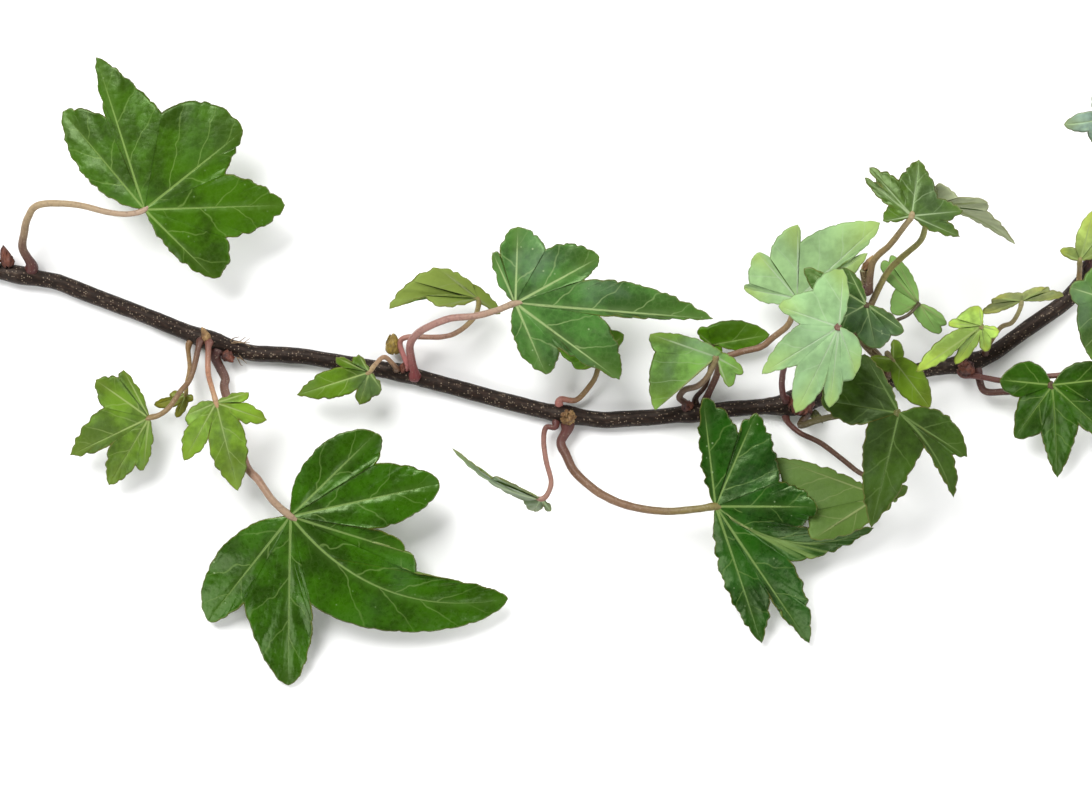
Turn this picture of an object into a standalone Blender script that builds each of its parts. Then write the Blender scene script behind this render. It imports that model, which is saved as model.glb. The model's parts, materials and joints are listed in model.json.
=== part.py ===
"""Cut stem of common ivy, lying on a flat surface, as separate solids.

The stem runs along X.  Each leaf is a blade on its own stalk, and each stalk
leaves the stem at a node.  Places below are in millimetres on the drawing
board, with X and Y along the surface and Z up from it; the finished model is
centred over its own box and stands on Z = 0.
"""
import math
from collections import namedtuple

import bmesh
import bpy
import numpy as np
from mathutils import Vector

MM = 0.001

# Driving sizes, in millimetres.
SPRIG_LENGTH = 225.5      # between the stem's two cut ends, along X
SPRIG_HEIGHT = 36.0       # height of the highest leaf's joint with its stalk
LEAF_SPAN = 46.0          # from joint to tip of the largest leaf
STEM_DIAMETER = 3.2
SHOOT_DIAMETER = 2.0      # side shoot at its foot
STALK_THICKNESS = 1.0     # factor on every stalk's own diameters
BLADE_THICKNESS = 0.4
BUD_LENGTH = 3.0
CLEARANCE = 0.3           # gap between any two neighbouring pieces

# Sizes for which the drawing-board places were chosen.
BOARD_LENGTH = 225.5
BOARD_HEIGHT = 36.0
BOARD_SPAN = 46.0

# How the stems and stalks are drawn, in millimetres where not said otherwise.
STEM_STRETCHES = 64       # straight stretches along the stem
SHOOT_STEP = 2.5          # between the points of the side shoot
STALK_STEP = 3.0          # between the points of a stalk
START = 0.8               # length by which a stalk or shoot first goes straight out
SHOOT_TURN = 50           # degrees round the stem at which the shoot leaves it
SHOOT_TAPER = 0.2         # share of its thickness that the shoot loses by its end
STALK_TAPER = 0.6         # power of the length by which a stalk thins to its neck
NECK_ROOM = 2.1           # neck radii between a blade's edge and its stalk's end
NECK_LIFT = 1.3           # neck radii between a blade's face and its stalk's end
THICK_TUBE = 0.95         # radius above which a tube has eight sides and not six

# How the blades and buds are drawn.
NEAR_HANDLE = (0.3, 1.4)  # edge's first handle: share of its chord, share of its fullness
FAR_HANDLE = (0.72, 0.8)  # and its second handle
DROOP = 1.5               # power of the length by which a lobe leaves its joint's height
WIDE_LEAF = 20.0          # reach above which a blade has the finer grid
FINE_GRID = (5, 2)        # squares along and across half a lobe
COARSE_GRID = (4, 1)
WELD = 0.02               # distance within which a blade's grids join
BUD_WIDTH = 0.3           # half width, as a share of the bud's length
BUD_TAPER = 0.35          # share by which the foot is wider and the tip narrower

# The stem's centre line seen from above.
STEM_LINE = [
    (-111.5, 26.2), (-97.0, 23.4), (-89.0, 20.2), (-79.0, 16.5), (-69.0, 12.5),
    (-59.0, 9.4), (-49.0, 8.8), (-29.0, 5.5), (-9.0, 0.0), (1.0, -2.5),
    (11.0, -4.0), (21.0, -3.5), (35.0, -2.0), (47.0, -1.0), (61.0, 2.0),
    (75.0, 6.0), (85.0, 7.5), (89.5, 9.5), (95.0, 13.5), (103.0, 19.0),
    (109.0, 25.0), (114.0, 30.0),
]

# Nodes: place along X, extra radius and half width of the swelling.
NODES = {
    "n1": (-105.0, 0.3, 2.5),
    "n2": (-67.0, 0.4, 3.0),
    "n3": (-29.0, 0.3, 2.5),
    "n4": (4.0, 0.4, 2.5),
    "n5": (29.5, 0.3, 2.5),
    "n6": (50.0, 1.0, 4.0),
    "shoot": (68.0, 0.3, 2.5),
    "n7": (84.0, 0.5, 2.5),
    "n8": (108.0, 0.4, 2.5),
}

# The side shoot after it leaves the stem.
SHOOT_LINE = [
    (66.0, 8.5, 5.0), (63.0, 11.5, 7.0), (61.0, 14.5, 8.5), (61.5, 18.5, 10.0),
    (63.0, 22.5, 12.0), (62.5, 25.5, 13.5),
]

# Stalk: the stem it grows on, its place there (X on the stem, share of the
# length on the shoot), degrees round it from the +Y side, diameters at foot
# and leaf, the points it passes, and the side of the blade that it meets.
Stalk = namedtuple("Stalk", "stem place turn foot neck route meets")
EDGE, UNDER, OVER = 0, -1, 1

# Leaf: its node, its joint, the tips of its lobes (x, y, height) from the
# joint, anticlockwise from the stalk, and the notches between them (x, y).
# full says how full the margin is on the leaf's first side, the inner sides
# and its last side.  A tip may go on with its own fullness on each side, and
# then with the sideways bow of its vein, both as shares of the length.
Leaf = namedtuple("Leaf", "node joint tips notches full stalk colour")

INNER = (0.12, 0.12, 0.12)

LEAVES = {
    "01": Leaf("n1", (-79.0, 37.5, 13.0),
               [(13.5, -13.5, -4, 0.12, 0.20), (27.5, 1.0, -3, 0.11, 0.08), (19.5, 15.5, 1, -0.03, 0.26),
                (-9.5, 30.0, 0, 0.03, 0.02), (-16.5, 19.5, -3, 0.08, 0.21)],
               [(16.0, -5.5), (16.0, 7.0), (3.5, 19.0), (-7.8, 18.3)],
               INNER,
               Stalk("main", -103.0, 30, 2.0, 1.0,
                     [(-104, 30, 5), (-103.5, 33, 7), (-102.5, 36, 9), (-100, 38.5, 11),
                      (-93, 38.5, 12.5), (-86, 36.9, 13), (-82, 36.6, 13)], EDGE), "green"),
    "02": Leaf("n2", (-50.5, -23.0, 9.0),
               [(-17, -21, -7, 0.27, 0.05), (-1, -34, -8, 0.07, 0.10), (43, -16.5, -5, 0.17, 0.03, -0.15),
                (22.5, -7, -1, 0.10, 0.12), (29.5, 6.5, 2, 0.13, 0.09), (17, 16.5, 3, 0.13, 0.27)],
               [(-9.5, -17.5), (4, -17.5), (25, -11.5), (16, -2.5), (17, 10.5)],
               INNER,
               Stalk("main", -65.0, 172, 2.0, 1.4,
                     [(-64, 4.5, 2.5), (-64, 2, 3), (-61.5, -6, 4.5), (-59.5, -13, 6),
                      (-57, -16, 7), (-54, -20, 8.5)], EDGE), "dark"),
    "03": Leaf("n2", (-78.5, -3.5, 9.0),
               [(-5, 9.5, 1), (-10.5, 7.5, 1), (-16, -7.5, -3), (-8.5, -13.5, -5), (-1.5, -10.5, -4)],
               [(-6, 8), (-9, 2), (-7.5, -5), (-3, -9.5)],
               (0.10, 0.10, 0.12),
               Stalk("main", -68.5, 118, 1.2, 1.0,
                     [(-70.5, 4.5, 6), (-72.5, 1.5, 8.5), (-74.5, -1.5, 9.5),
                      (-76.5, -3, 9.5)], EDGE), "green"),
    "04": Leaf("n2", (-65.0, -0.5, 12.0),
               [(-6, -2.5, -1), (-6.5, -11.5, -2), (4, -17.5, -4), (10, -3.5, -1), (6.5, 2, 0)],
               [(-5.5, -4.5), (-1.5, -6.5), (4.5, -3.5), (5, 0)],
               (0.22, 0.14, 0.12),
               Stalk("main", -66.8, 110, 1.2, 1.0,
                     [(-67, 5.5, 7), (-66, 2.5, 10.5)], EDGE), "green"),
    "05": Leaf("n2", (-71.5, 1.0, 6.0),
               [(-3, 0.5, -1), (-6.5, -2, -2), (-2, -4.5, -1), (1.5, -0.5, 0)],
               [(-3, -0.5), (-1.5, -2), (0.5, -1.5)],
               (0.15, 0.12, 0.15),
               Stalk("main", -70.3, 165, 1.0, 0.8,
                     [(-71, 6.5, 3), (-71.5, 3, 4.5)], EDGE), "young"),
    "06": Leaf("n3", (-35.0, 5.5, 9.0),
               [(-2, 3.5, 1), (-6.5, 3, 1), (-14.5, -4.5, -2), (-2, -6.5, -2), (2.5, -3.5, -1)],
               [(-3.5, 2), (-5.5, 1), (-2.5, -3.5), (0.5, -5)],
               (0.15, 0.12, 0.15),
               Stalk("main", -30.0, 75, 1.0, 0.9,
                     [(-32, 8.5, 7), (-33.8, 7, 8.6)], EDGE), "young"),
    "07": Leaf("n3", (-13.5, 20.0, 9.0),
               [(4.5, -3, -2, 0.1, 0.1), (-7.5, 6, 2, 0.08, 0.1), (-17.5, -2, 2, 0.08, -0.03, -0.09),
                (-6.5, -1.5, 4, 0.1, 0.05)],
               [(-1, 3), (-13, 3.5), (-10.5, 0.5)],
               INNER,
               Stalk("main", -28.2, 48, 1.1, 1.0,
                     [(-29, 11, 4.5), (-27.5, 12.5, 5.5), (-21, 12.5, 6.5), (-17.5, 13.5, 7),
                      (-14.5, 16, 7.5), (-13.5, 18, 8.5)], EDGE), "young"),
    "08": Leaf("n3", (-6.0, 19.0, 16.0),
               [(6, -14, -4, 0.22, 0.15), (20.5, -15, -4, 0, 0.13), (39, -3, -4, 0, 0.09),
                (16.5, 9, 1, 0.05, 0.18), (0.5, 15, 1, 0.11, 0.17), (-4.5, 10, 0, 0, 0.13)],
               [(8.5, -9), (16.5, -2.5), (13.5, 4.5), (6, 10.5), (-3, 9.5)],
               INNER,
               Stalk("main", -26.3, 80, 1.8, 1.2,
                     [(-27, 10.5, 7.5), (-25.5, 13, 9.5), (-23, 14.5, 11.5), (-19, 16, 13),
                      (-14, 16.5, 14), (-10, 17.5, 15)], EDGE), "dark"),
    "09": Leaf("n4", (10.5, 8.5, 5.0),
               [(5, 4.5, 1), (-3.5, 8, 1), (-8.5, 3, 0), (-3.5, -2.5, 0)],
               [(-1, 5), (-5.5, 4.5), (-5.5, -1)],
               (0.20, 0.12, 0.15),
               Stalk("main", 2.5, 15, 1.2, 1.0,
                     [(6, 0, 2.5), (8.5, 2.5, 3.5), (10, 5, 4.5)], EDGE), "young"),
    "10": Leaf("n4", (-1.0, -19.5, 12.0),
               [(-8.3, 4.3, 6, 0, 0.05), (-17.5, 10, 0, 0, 0.06, 0.09), (-1.5, -2.5, -6), (2, -2.5, -4)],
               [(-9.7, 4), (-3.5, -0.4), (0.5, -1.5)],
               (0.08, 0.08, 0.10),
               Stalk("main", 2.2, 160, 1.1, 1.0,
                     [(0, -5.5, 3), (-0.5, -8, 4.5), (0, -12, 7), (1, -16, 10),
                      (0.3, -18.5, 11.5)], EDGE), "green"),
    "11": Leaf("n5", (33.5, 8.5, 13.0),
               [(2.5, -6, -2), (5.5, -3, -2), (-13, 4.5, 1), (-12, -10.5, -4)],
               [(4, -3.5), (1, 1), (-12, 1)],
               (0.04, 0.10, -0.05),
               Stalk("main", 28.0, 45, 1.4, 1.1,
                     [(26.5, 0.5, 5), (27.5, 2, 6.5), (30.2, 2.9, 9), (32.2, 5.2, 11.4)], EDGE), "green"),
    "12": Leaf("n5", (33.0, 11.0, 5.0),
               [(1, -2.5, 0), (11.5, 2, 0), (-3, 2.5, 0)],
               [(2, -0.5), (-1, 3.5)],
               (0.12, 0.18, 0.12),
               Stalk("main", 30.2, 10, 1.0, 0.9,
                     [(31.9, 3, 2.5), (32.8, 7, 3)], UNDER), "dark"),
    "13": Leaf("n5", (49.5, 20.0, 13.0),
               [(14, 9, -2, 0.16, 0), (16.5, 15, -2, 0.1, 0.11), (0, 14.5, 1, 0.04, 0.17),
                (-8, 9, 0, 0.05, 0.1), (-10.5, 2, -2, 0, 0.2)],
               [(9.5, 7.3), (0.5, 11), (-5.5, 8), (-9.5, 3)],
               INNER,
               Stalk("main", 32.2, 25, 1.4, 1.2,
                     [(33.8, 4.4, 4), (35, 8, 7), (38.5, 9.5, 8.5), (42.5, 10.5, 9.5),
                      (45, 12.5, 10.5), (47.5, 14.5, 11.5), (48.5, 16.5, 12.3)], EDGE), "pale"),
    "14": Leaf("n6", (56.0, 14.0, 36.0),
               [(1, 11, -2, 0.13, 0.2), (-11.5, 4, -2, 0.07, 0), (-14.5, -9, -5, 0.08, -0.03),
                (-8, -16.5, -5, 0.06, 0.1), (-1.5, -15.5, -5, 0.08, 0.1), (3.5, -9, -3, 0.1, 0.3)],
               [(-5, 7), (-7.5, 0.5), (-8, -7.5), (-2.5, -10.5), (1, -10.5)],
               INNER,
               Stalk("main", 48.0, 70, 1.3, 1.1,
                     [(47, 1, 7), (46.5, 4, 12), (47, 7.5, 19), (49.5, 10.5, 26),
                      (52.5, 13, 32)], UNDER), "pale"),
    "15": Leaf("shoot", (62.0, 18.5, 26.0),
               [(-3.5, 7, -1), (-12, 7, -2), (-8, -4.5, -2), (2, -8.5, -2), (7.5, -5, -2)],
               [(-7.5, 5.5), (-6.5, 0), (-2, -5.5), (5, -6)],
               (0.14, 0.12, 0.14),
               Stalk("side", 0.42, 60, 1.0, 0.9,
                     [(62.5, 13.5, 15), (63.5, 15.5, 22)], UNDER), "dark"),
    "16": Leaf("n6", (68.5, -2.5, 24.0),
               [(-6.5, 11.5, -2, 0.1, 0.03), (-15, 2.5, -3, 0.08, 0.2), (-5, -22.5, -5, 0.07, 0.03),
                (11, -16.5, -4, -0.03, 0.07, 0.07), (13.5, -8.5, -2, 0, 0.33)],
               [(-11.5, 8), (-6, -2), (5, -6.5), (10.6, -8.2)],
               INNER,
               Stalk("main", 51.3, 140, 1.5, 1.2,
                     [(50.5, -5, 7), (53.5, -4, 11), (58, -3, 15), (63.5, -2.5, 20)], UNDER), "dark"),
    "17": Leaf("n6", (66.0, -19.0, 9.5),
               [(-20.5, 7.5, -3), (-13.5, -8.5, 2), (2.5, -1, 0), (5.5, 2, 0)],
               [(-13.5, -3), (-1, -4), (3.5, -0.5)],
               (0.08, 0.12, 0.10),
               Stalk("main", 47.5, 175, 1.1, 1.0,
                     [(50.5, -6.5, 3.2), (54.5, -8.5, 4.5), (58.5, -11.5, 5.5), (61.5, -14, 7.5),
                      (65, -16.3, 9)], EDGE), "young"),
    "18": Leaf("n4", (33.5, -21.0, 10.0),
               [(9.5, -27.5, -8, 0.12, 0.02), (19, -27.5, -8, 0.02, 0.09),
                (32, -4.5, -8.5, 0.07, -0.04, -0.15), (20, 0, 3, 0.05, 0.1),
                (8, 18.5, 1, 0.08, 0.1), (-2.5, 21.5, 1, 0.1, 0.09)],
               [(11, -18.2), (15, -11), (16.5, -4), (12.5, 5), (4.5, 14.5)],
               INNER,
               Stalk("main", 4.6, 172, 2.0, 1.4,
                     [(3, -8.5, 2.5), (4, -11, 3.5), (5.5, -14, 4.5), (8, -16.5, 6), (11.5, -19, 7),
                      (16.5, -21, 8), (23.5, -22, 9), (30, -21.5, 10)], EDGE), "dark"),
    "19": Leaf("shoot", (70.5, 35.5, 30.0),
               [(9.5, -4, -2), (10, 1, -1), (1.5, 11, -2), (-8, 9.5, -3), (-9, 7.5, -3), (-5.5, -1, -2)],
               [(7, -1), (5, 3.5), (-2.5, 7), (-5.8, 5.8), (-4.5, 2)],
               (0.12, 0.06, 0.10),
               Stalk("side", 0.95, 75, 1.5, 1.1,
                     [(64, 27, 17.5), (67, 30.3, 21.5), (69.3, 33.6, 27)], EDGE), "green"),
    "20": Leaf("shoot", (75.5, 38.0, 22.0),
               [(16.5, -7.5, -6, -0.05, 0.03, 0.07), (10, 0.5, 3), (0.5, 4, 4)],
               [(10.3, -1.2), (4.5, 1.3)],
               (0.05, 0.06, 0.10),
               Stalk("side", 0.62, -10, 1.5, 1.1,
                     [(66.8, 24.5, 13.5), (69.8, 28, 17), (73, 31, 20.5), (74, 34, 21.5)], EDGE), "young"),
    "21": Leaf("shoot", (73.5, 19.0, 12.0),
               [(-5, 9.5, 0), (-7.5, 8, 0), (-5, -2, -3), (4, -6, -2), (5.5, -3.5, -1)],
               [(-6, 8.3), (-4.5, 3), (-1.5, -1), (4.5, -4.5)],
               (0.14, 0.12, 0.12),
               Stalk("side", 0.46, -20, 0.8, 0.7,
                     [(66, 13.5, 11.5), (68.7, 15.5, 13.3), (71.3, 16.8, 13.8)], OVER), "young"),
    "22": Leaf("shoot", (68.5, 8.0, 11.0),
               [(-4.5, 0.5, -1), (7.5, -9.5, -2), (0, 4, 1)],
               [(-0.5, -2.5), (2, 0.5)],
               (0.10, 0.20, 0.10),
               Stalk("side", 0.12, 75, 0.9, 0.8,
                     [(67.3, 9.3, 9.5)], EDGE), "young"),
    "23": Leaf("n7", (85.5, 14.5, 15.0),
               [(-0.5, 4, 0), (-6.5, 0.5, 0), (-13, -9, 1), (-5, -7.5, -2), (1, -5, -2), (3.5, -1, 0)],
               [(-5, 1.5), (-4.5, -0.5), (-3.5, -3), (-0.5, -3), (2, -2.5)],
               (0.14, 0.10, 0.14),
               Stalk("main", 83.5, 60, 1.0, 0.9,
                     [(84, 10, 7.5), (84.8, 12.2, 11)], UNDER), "young"),
    "24": Leaf("n7", (93.5, 19.5, 14.0),
               [(8.5, 1, -2), (4.5, 2.5, 3), (-5.5, 0.5, 2), (-7.5, -2.5, -2)],
               [(5.5, 2), (0, 1.5), (-6, -0.5)],
               (0.05, 0.08, 0.08),
               Stalk("main", 88.0, 65, 1.0, 0.9,
                     [(90, 14.2, 7), (92.2, 15.4, 9.5), (93.3, 17.8, 12.5)], EDGE), "young"),
    "25": Leaf("n7", (100.0, 3.0, 10.0),
               [(-10.5, 1, 1, 0.45, 0.16), (-7, -10.5, -4, 0.04, 0.08), (2, -18.5, -8, 0.02, 0.03),
                (12, -10.5, -4, 0.08, 0.08), (13.5, 1.5, 1, 0.1, 0.33)],
               [(-6.5, -2.5), (-2, -9.5), (5.5, -8), (11, -4.5)],
               INNER,
               Stalk("main", 85.3, 172, 1.6, 1.2,
                     [(87.3, 1.8, 3.5), (90.8, 1.6, 5), (96, 2, 7)], UNDER), "dark"),
    "26": Leaf("n7", (109.0, 20.0, 18.0),
               [(-0.5, 6.5, 0), (-6.5, 2, 0), (-1, -13, -3), (5, -7.5, -2), (6, 0.5, 0)],
               [(-4, 3.5), (-5, -1.5), (2, -6), (4, -3.5)],
               (0.05, 0.12, 0.05),
               Stalk("main", 82.6, 135, 1.2, 1.0,
                     [(85, 4.8, 5), (87.5, 4.4, 5.3), (91, 3.9, 5.6), (98.3, 4.6, 6), (107, 5.8, 7.5),
                      (112.7, 9.5, 10), (115, 16, 14), (112.5, 23, 17.3)], EDGE), "dark"),
    "27": Leaf("n8", (105.5, 27.5, 10.0),
               [(5, 2.5, 0), (2.5, 10, 1), (-4, 2, 0)],
               [(3.5, 4.5), (-1, 2.5)],
               (0.12, 0.12, 0.12),
               Stalk("main", 106.5, 75, 1.2, 1.0,
                     [(105.8, 25.5, 7)], EDGE), "young"),
    "28": Leaf("n8", (110.5, 55.0, 18.0),
               [(4.5, 4.5, 0), (-3, 5.5, 0), (-9, -1, -2), (-2.5, -5, -2)],
               [(0.5, 3), (-3.5, 1.5), (-4.5, -2.5)],
               (0.16, 0.12, 0.16),
               Stalk("main", 110.5, 55, 1.2, 1.0,
                     [(112, 32, 6), (113.5, 40, 10), (115, 48, 14.5), (114, 53, 17)], EDGE), "green"),
}

# Leaves that lie among another leaf's lobes, and so move with them as blades grow.
LIES_AMONG = {"17": "18"}

# Buds in the angles of the stalks: place along X, degrees round the stem.
BUDS = {
    "n3": (-33.5, 40),
    "n4": (7.5, 90),
}

COLOURS = {
    "bark": (0.075, 0.050, 0.042, 1.0),
    "stalk": (0.300, 0.120, 0.100, 1.0),
    "bud": (0.330, 0.190, 0.090, 1.0),
    "green": (0.095, 0.230, 0.045, 1.0),
    "dark": (0.030, 0.095, 0.035, 1.0),
    "pale": (0.250, 0.420, 0.180, 1.0),
    "young": (0.260, 0.340, 0.080, 1.0),
}


def clear_scene():
    """Remove every object that the scene starts with."""
    for thing in list(bpy.data.objects):
        bpy.data.objects.remove(thing)


def make_material(name, colour, roughness):
    """Principled material of one colour."""
    material = bpy.data.materials.new(name)
    material.use_nodes = True
    shader = material.node_tree.nodes["Principled BSDF"]
    shader.inputs["Base Color"].default_value = colour
    shader.inputs["Roughness"].default_value = roughness
    shader.inputs["Metallic"].default_value = 0.0
    return material


def smooth_path(points, step):
    """Points about step apart on the Catmull-Rom curve through the given ones."""
    line = [Vector(p) for p in points]
    line = [2 * line[0] - line[1]] + line + [2 * line[-1] - line[-2]]
    path = []
    for a, b, c, d in zip(line, line[1:], line[2:], line[3:]):
        count = max(1, round((c - b).length / step))
        for i in range(count):
            t = i / count
            path.append(0.5 * (2 * b + (c - a) * t + (2 * a - 5 * b + 4 * c - d) * t**2
                               + (3 * b - a - 3 * c + d) * t**3))
    return path + [line[-2]]


def stem_radius(x):
    """Stem radius at a place on the drawing board, with its nodes' swellings."""
    swell = sum(extra * math.exp(-((x - place) / width) ** 2) for place, extra, width in NODES.values())
    return STEM_DIAMETER / 2 + swell


def stem_centre(x):
    """Centre and direction of the stem at a place X on the drawing board."""
    places, sides = zip(*STEM_LINE)
    stretch = SPRIG_LENGTH / BOARD_LENGTH
    here = Vector((x * stretch, float(np.interp(x, places, sides)), stem_radius(x)))
    rise = float(np.interp(x + 1, places, sides) - np.interp(x - 1, places, sides)) / 2
    return here, Vector((stretch, rise, 0)).normalized()


def node_shift(node):
    """How far a node has moved from its place on the drawing board."""
    x = NODES[node][0]
    return Vector((x * (SPRIG_LENGTH / BOARD_LENGTH - 1), 0, 0))


def board_point(node, point):
    """A drawing-board point that belongs to a node, at its real place."""
    height = point[2] * SPRIG_HEIGHT / BOARD_HEIGHT
    return Vector((point[0], point[1], height)) + node_shift(node)


def spread(number, leaf):
    """How far a leaf's joint moves as the blades grow, to keep its place among a neighbour's lobes."""
    if number not in LIES_AMONG:
        return Vector((0, 0, 0))
    neighbour = LEAVES[LIES_AMONG[number]]
    return (Vector(leaf.joint) - Vector(neighbour.joint)) * (LEAF_SPAN / BOARD_SPAN - 1)


def around(direction, turn):
    """Unit vector square to a direction, turned from the +Y side upwards."""
    side = Vector((0, 0, 1)).cross(direction).normalized()
    up = direction.cross(side).normalized()
    return side * math.cos(math.radians(turn)) + up * math.sin(math.radians(turn))


def shoot_path():
    """Side shoot's centre line, from just clear of the stem to its end."""
    centre, direction = stem_centre(NODES["shoot"][0])
    out = around(direction, SHOOT_TURN)
    foot = centre + out * (stem_radius(NODES["shoot"][0]) + CLEARANCE)
    line = [foot, foot + out * START] + [board_point("shoot", p) for p in SHOOT_LINE]
    return smooth_path(line, SHOOT_STEP)


def make_tube(name, path, radii, material, collection):
    """Round tube along a path, with a radius at each point and closed ends."""
    curve = bpy.data.curves.new(name, "CURVE")
    curve.dimensions = "3D"
    curve.bevel_depth = MM
    curve.bevel_resolution = 2 if max(radii) > THICK_TUBE else 1
    curve.use_fill_caps = True
    spline = curve.splines.new("POLY")
    spline.points.add(len(path) - 1)
    for point, place, radius in zip(spline.points, path, radii):
        point.co = (*(place * MM), 1.0)
        point.radius = radius
    return add_object(name, curve, material, collection)


def add_object(name, data, material, collection):
    """Object of the given data and material in the sprig's collection."""
    data.materials.append(material)
    thing = bpy.data.objects.new(name, data)
    collection.objects.link(thing)
    return thing


def make_stem(material, collection):
    """Main stem, resting along the surface."""
    stations = np.linspace(STEM_LINE[0][0], STEM_LINE[-1][0], STEM_STRETCHES + 1)
    path = [stem_centre(x)[0] for x in stations]
    radii = [stem_radius(x) for x in stations]
    return make_tube("main_stem", path, radii, material, collection)


def make_shoot(material, collection):
    """Side shoot that rises from the stem."""
    path = shoot_path()
    radii = SHOOT_DIAMETER / 2 * np.linspace(1, 1 - SHOOT_TAPER, len(path))
    return make_tube("side_shoot", path, list(radii), material, collection)


def stalk_foot(stalk):
    """Where a stalk leaves its stem, and the way it points there."""
    if stalk.stem == "main":
        centre, direction = stem_centre(stalk.place)
        radius = stem_radius(stalk.place)
    else:
        path = shoot_path()
        index = min(len(path) - 2, round(stalk.place * (len(path) - 1)))
        centre = path[index]
        direction = (path[index - 1] - path[index + 1]).normalized()
        radius = SHOOT_DIAMETER / 2 * (1 - SHOOT_TAPER * index / (len(path) - 1))
    out = around(direction, stalk.turn)
    return centre + out * (radius + CLEARANCE), out


def stalk_path(number, leaf):
    """Stalk's centre line, from clear of its stem to clear of its blade."""
    stalk = leaf.stalk
    foot, out = stalk_foot(stalk)
    shares = np.linspace(0, 1, len(stalk.route) + 2)[1:-1]
    route = [board_point(leaf.node, point) + spread(number, leaf) * share
             for point, share in zip(stalk.route, shares)]
    joint = board_point(leaf.node, leaf.joint) + spread(number, leaf)
    neck = stalk.neck * STALK_THICKNESS / 2
    if stalk.meets == EDGE:
        back = (route[-1] - joint).normalized()
        end = joint + back * (CLEARANCE + BLADE_THICKNESS / 2 + NECK_ROOM * neck)
    else:
        end = joint + Vector((0, 0, stalk.meets * (CLEARANCE + BLADE_THICKNESS + NECK_LIFT * neck)))
    return smooth_path([foot, foot + out * START] + route + [end], STALK_STEP)


def make_stalk(number, leaf, material, collection):
    """One leaf's stalk, tapering from its foot to its leaf."""
    path = stalk_path(number, leaf)
    ends = np.array([leaf.stalk.foot, leaf.stalk.neck]) * STALK_THICKNESS / 2
    share = np.linspace(0, 1, len(path)) ** STALK_TAPER
    radii = ends[0] + (ends[1] - ends[0]) * share
    return make_tube(f"petiole_{number}", path, list(radii), material, collection)


def margin_point(corner, tip, out, full, u):
    """Point on a lobe's edge: a cubic from its corner, full at first, to its tip."""
    chord = tip - corner
    bulge = out * full * chord.length
    first = corner + chord * NEAR_HANDLE[0] + bulge * NEAR_HANDLE[1]
    second = corner + chord * FAR_HANDLE[0] + bulge * FAR_HANDLE[1]
    return (corner * (1 - u) ** 3 + first * 3 * u * (1 - u) ** 2
            + second * 3 * u * u * (1 - u) + tip * u**3)


def lobe_sides(leaf):
    """Each half of each lobe: its tip, bow, corner, outward direction and fullness."""
    size = LEAF_SPAN / BOARD_SPAN
    tips = [Vector(tip[:3]) * size for tip in leaf.tips]
    corners = [Vector((0, 0, 0))]
    for (x, y), left, right in zip(leaf.notches, tips, tips[1:]):
        corner = Vector((x, y, 0)) * size
        shares = [min(1.0, corner.length / Vector(t[:2]).length) ** DROOP for t in (left, right)]
        corner.z = (left.z * shares[0] + right.z * shares[1]) / 2
        corners.append(corner)
    corners.append(Vector((0, 0, 0)))
    last = len(tips) - 1
    for i, tip in enumerate(tips):
        right, left = leaf.tips[i][3:5] or (leaf.full[0 if i == 0 else 1], leaf.full[2 if i == last else 1])
        bow = Vector((-tip.y, tip.x, 0)) * sum(leaf.tips[i][5:])
        for side, corner, full in ((-1, corners[i], right), (1, corners[i + 1], left)):
            chord = tip - corner
            out = Vector((-chord.y, chord.x, 0)).normalized() * side
            yield tip, bow, corner, out, full


def make_blade(number, leaf, material, collection):
    """One leaf blade: a grid from vein to edge for each half lobe, given a thickness."""
    joint = board_point(leaf.node, leaf.joint) + spread(number, leaf)
    reach = max(Vector(t[:2]).length for t in leaf.tips)
    along, across = FINE_GRID if reach > WIDE_LEAF else COARSE_GRID
    mesh = bmesh.new()
    for tip, bow, corner, out, full in lobe_sides(leaf):
        made = bmesh.ops.create_grid(mesh, x_segments=along, y_segments=across, size=0.5)
        for vert in made["verts"]:
            u = vert.co.x + 0.5
            v = vert.co.y + 0.5
            vein = Vector((tip.x * u, tip.y * u, tip.z * u**DROOP)) + bow * 4 * u * (1 - u)
            edge = margin_point(corner, tip, out, full, u)
            vert.co = (joint + vein.lerp(edge, v)) * MM
    bmesh.ops.remove_doubles(mesh, verts=mesh.verts, dist=WELD * MM)
    bmesh.ops.recalc_face_normals(mesh, faces=mesh.faces)
    if sum(face.normal.z for face in mesh.faces) < 0:
        bmesh.ops.reverse_faces(mesh, faces=mesh.faces)
    data = bpy.data.meshes.new(f"leaf_{number}")
    mesh.to_mesh(data)
    mesh.free()
    blade = add_object(f"leaf_{number}", data, material, collection)
    wall = blade.modifiers.new("thickness", "SOLIDIFY")
    wall.thickness = BLADE_THICKNESS * MM
    wall.offset = 0.0
    return blade


def make_bud(node, material, collection):
    """Egg-shaped bud lying along the stem beside a node."""
    place, turn = BUDS[node]
    centre, direction = stem_centre(place)
    out = around(direction, turn)
    width = BUD_LENGTH * BUD_WIDTH
    middle = centre + out * (stem_radius(place) + CLEARANCE + width * (1 + BUD_TAPER))
    mesh = bmesh.new()
    bmesh.ops.create_uvsphere(mesh, u_segments=8, v_segments=6, radius=1.0)
    for vert in mesh.verts:
        length, side, lift = vert.co.z, vert.co.x, vert.co.y
        taper = 1 - BUD_TAPER * length
        place_in_bud = (-direction * length * BUD_LENGTH / 2
                        + direction.cross(out) * side * width * taper
                        + out * lift * width * taper)
        vert.co = (middle + place_in_bud) * MM
    data = bpy.data.meshes.new(f"bud_{node}")
    mesh.to_mesh(data)
    mesh.free()
    data.shade_smooth()
    return add_object(f"bud_{node}", data, material, collection)


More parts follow.
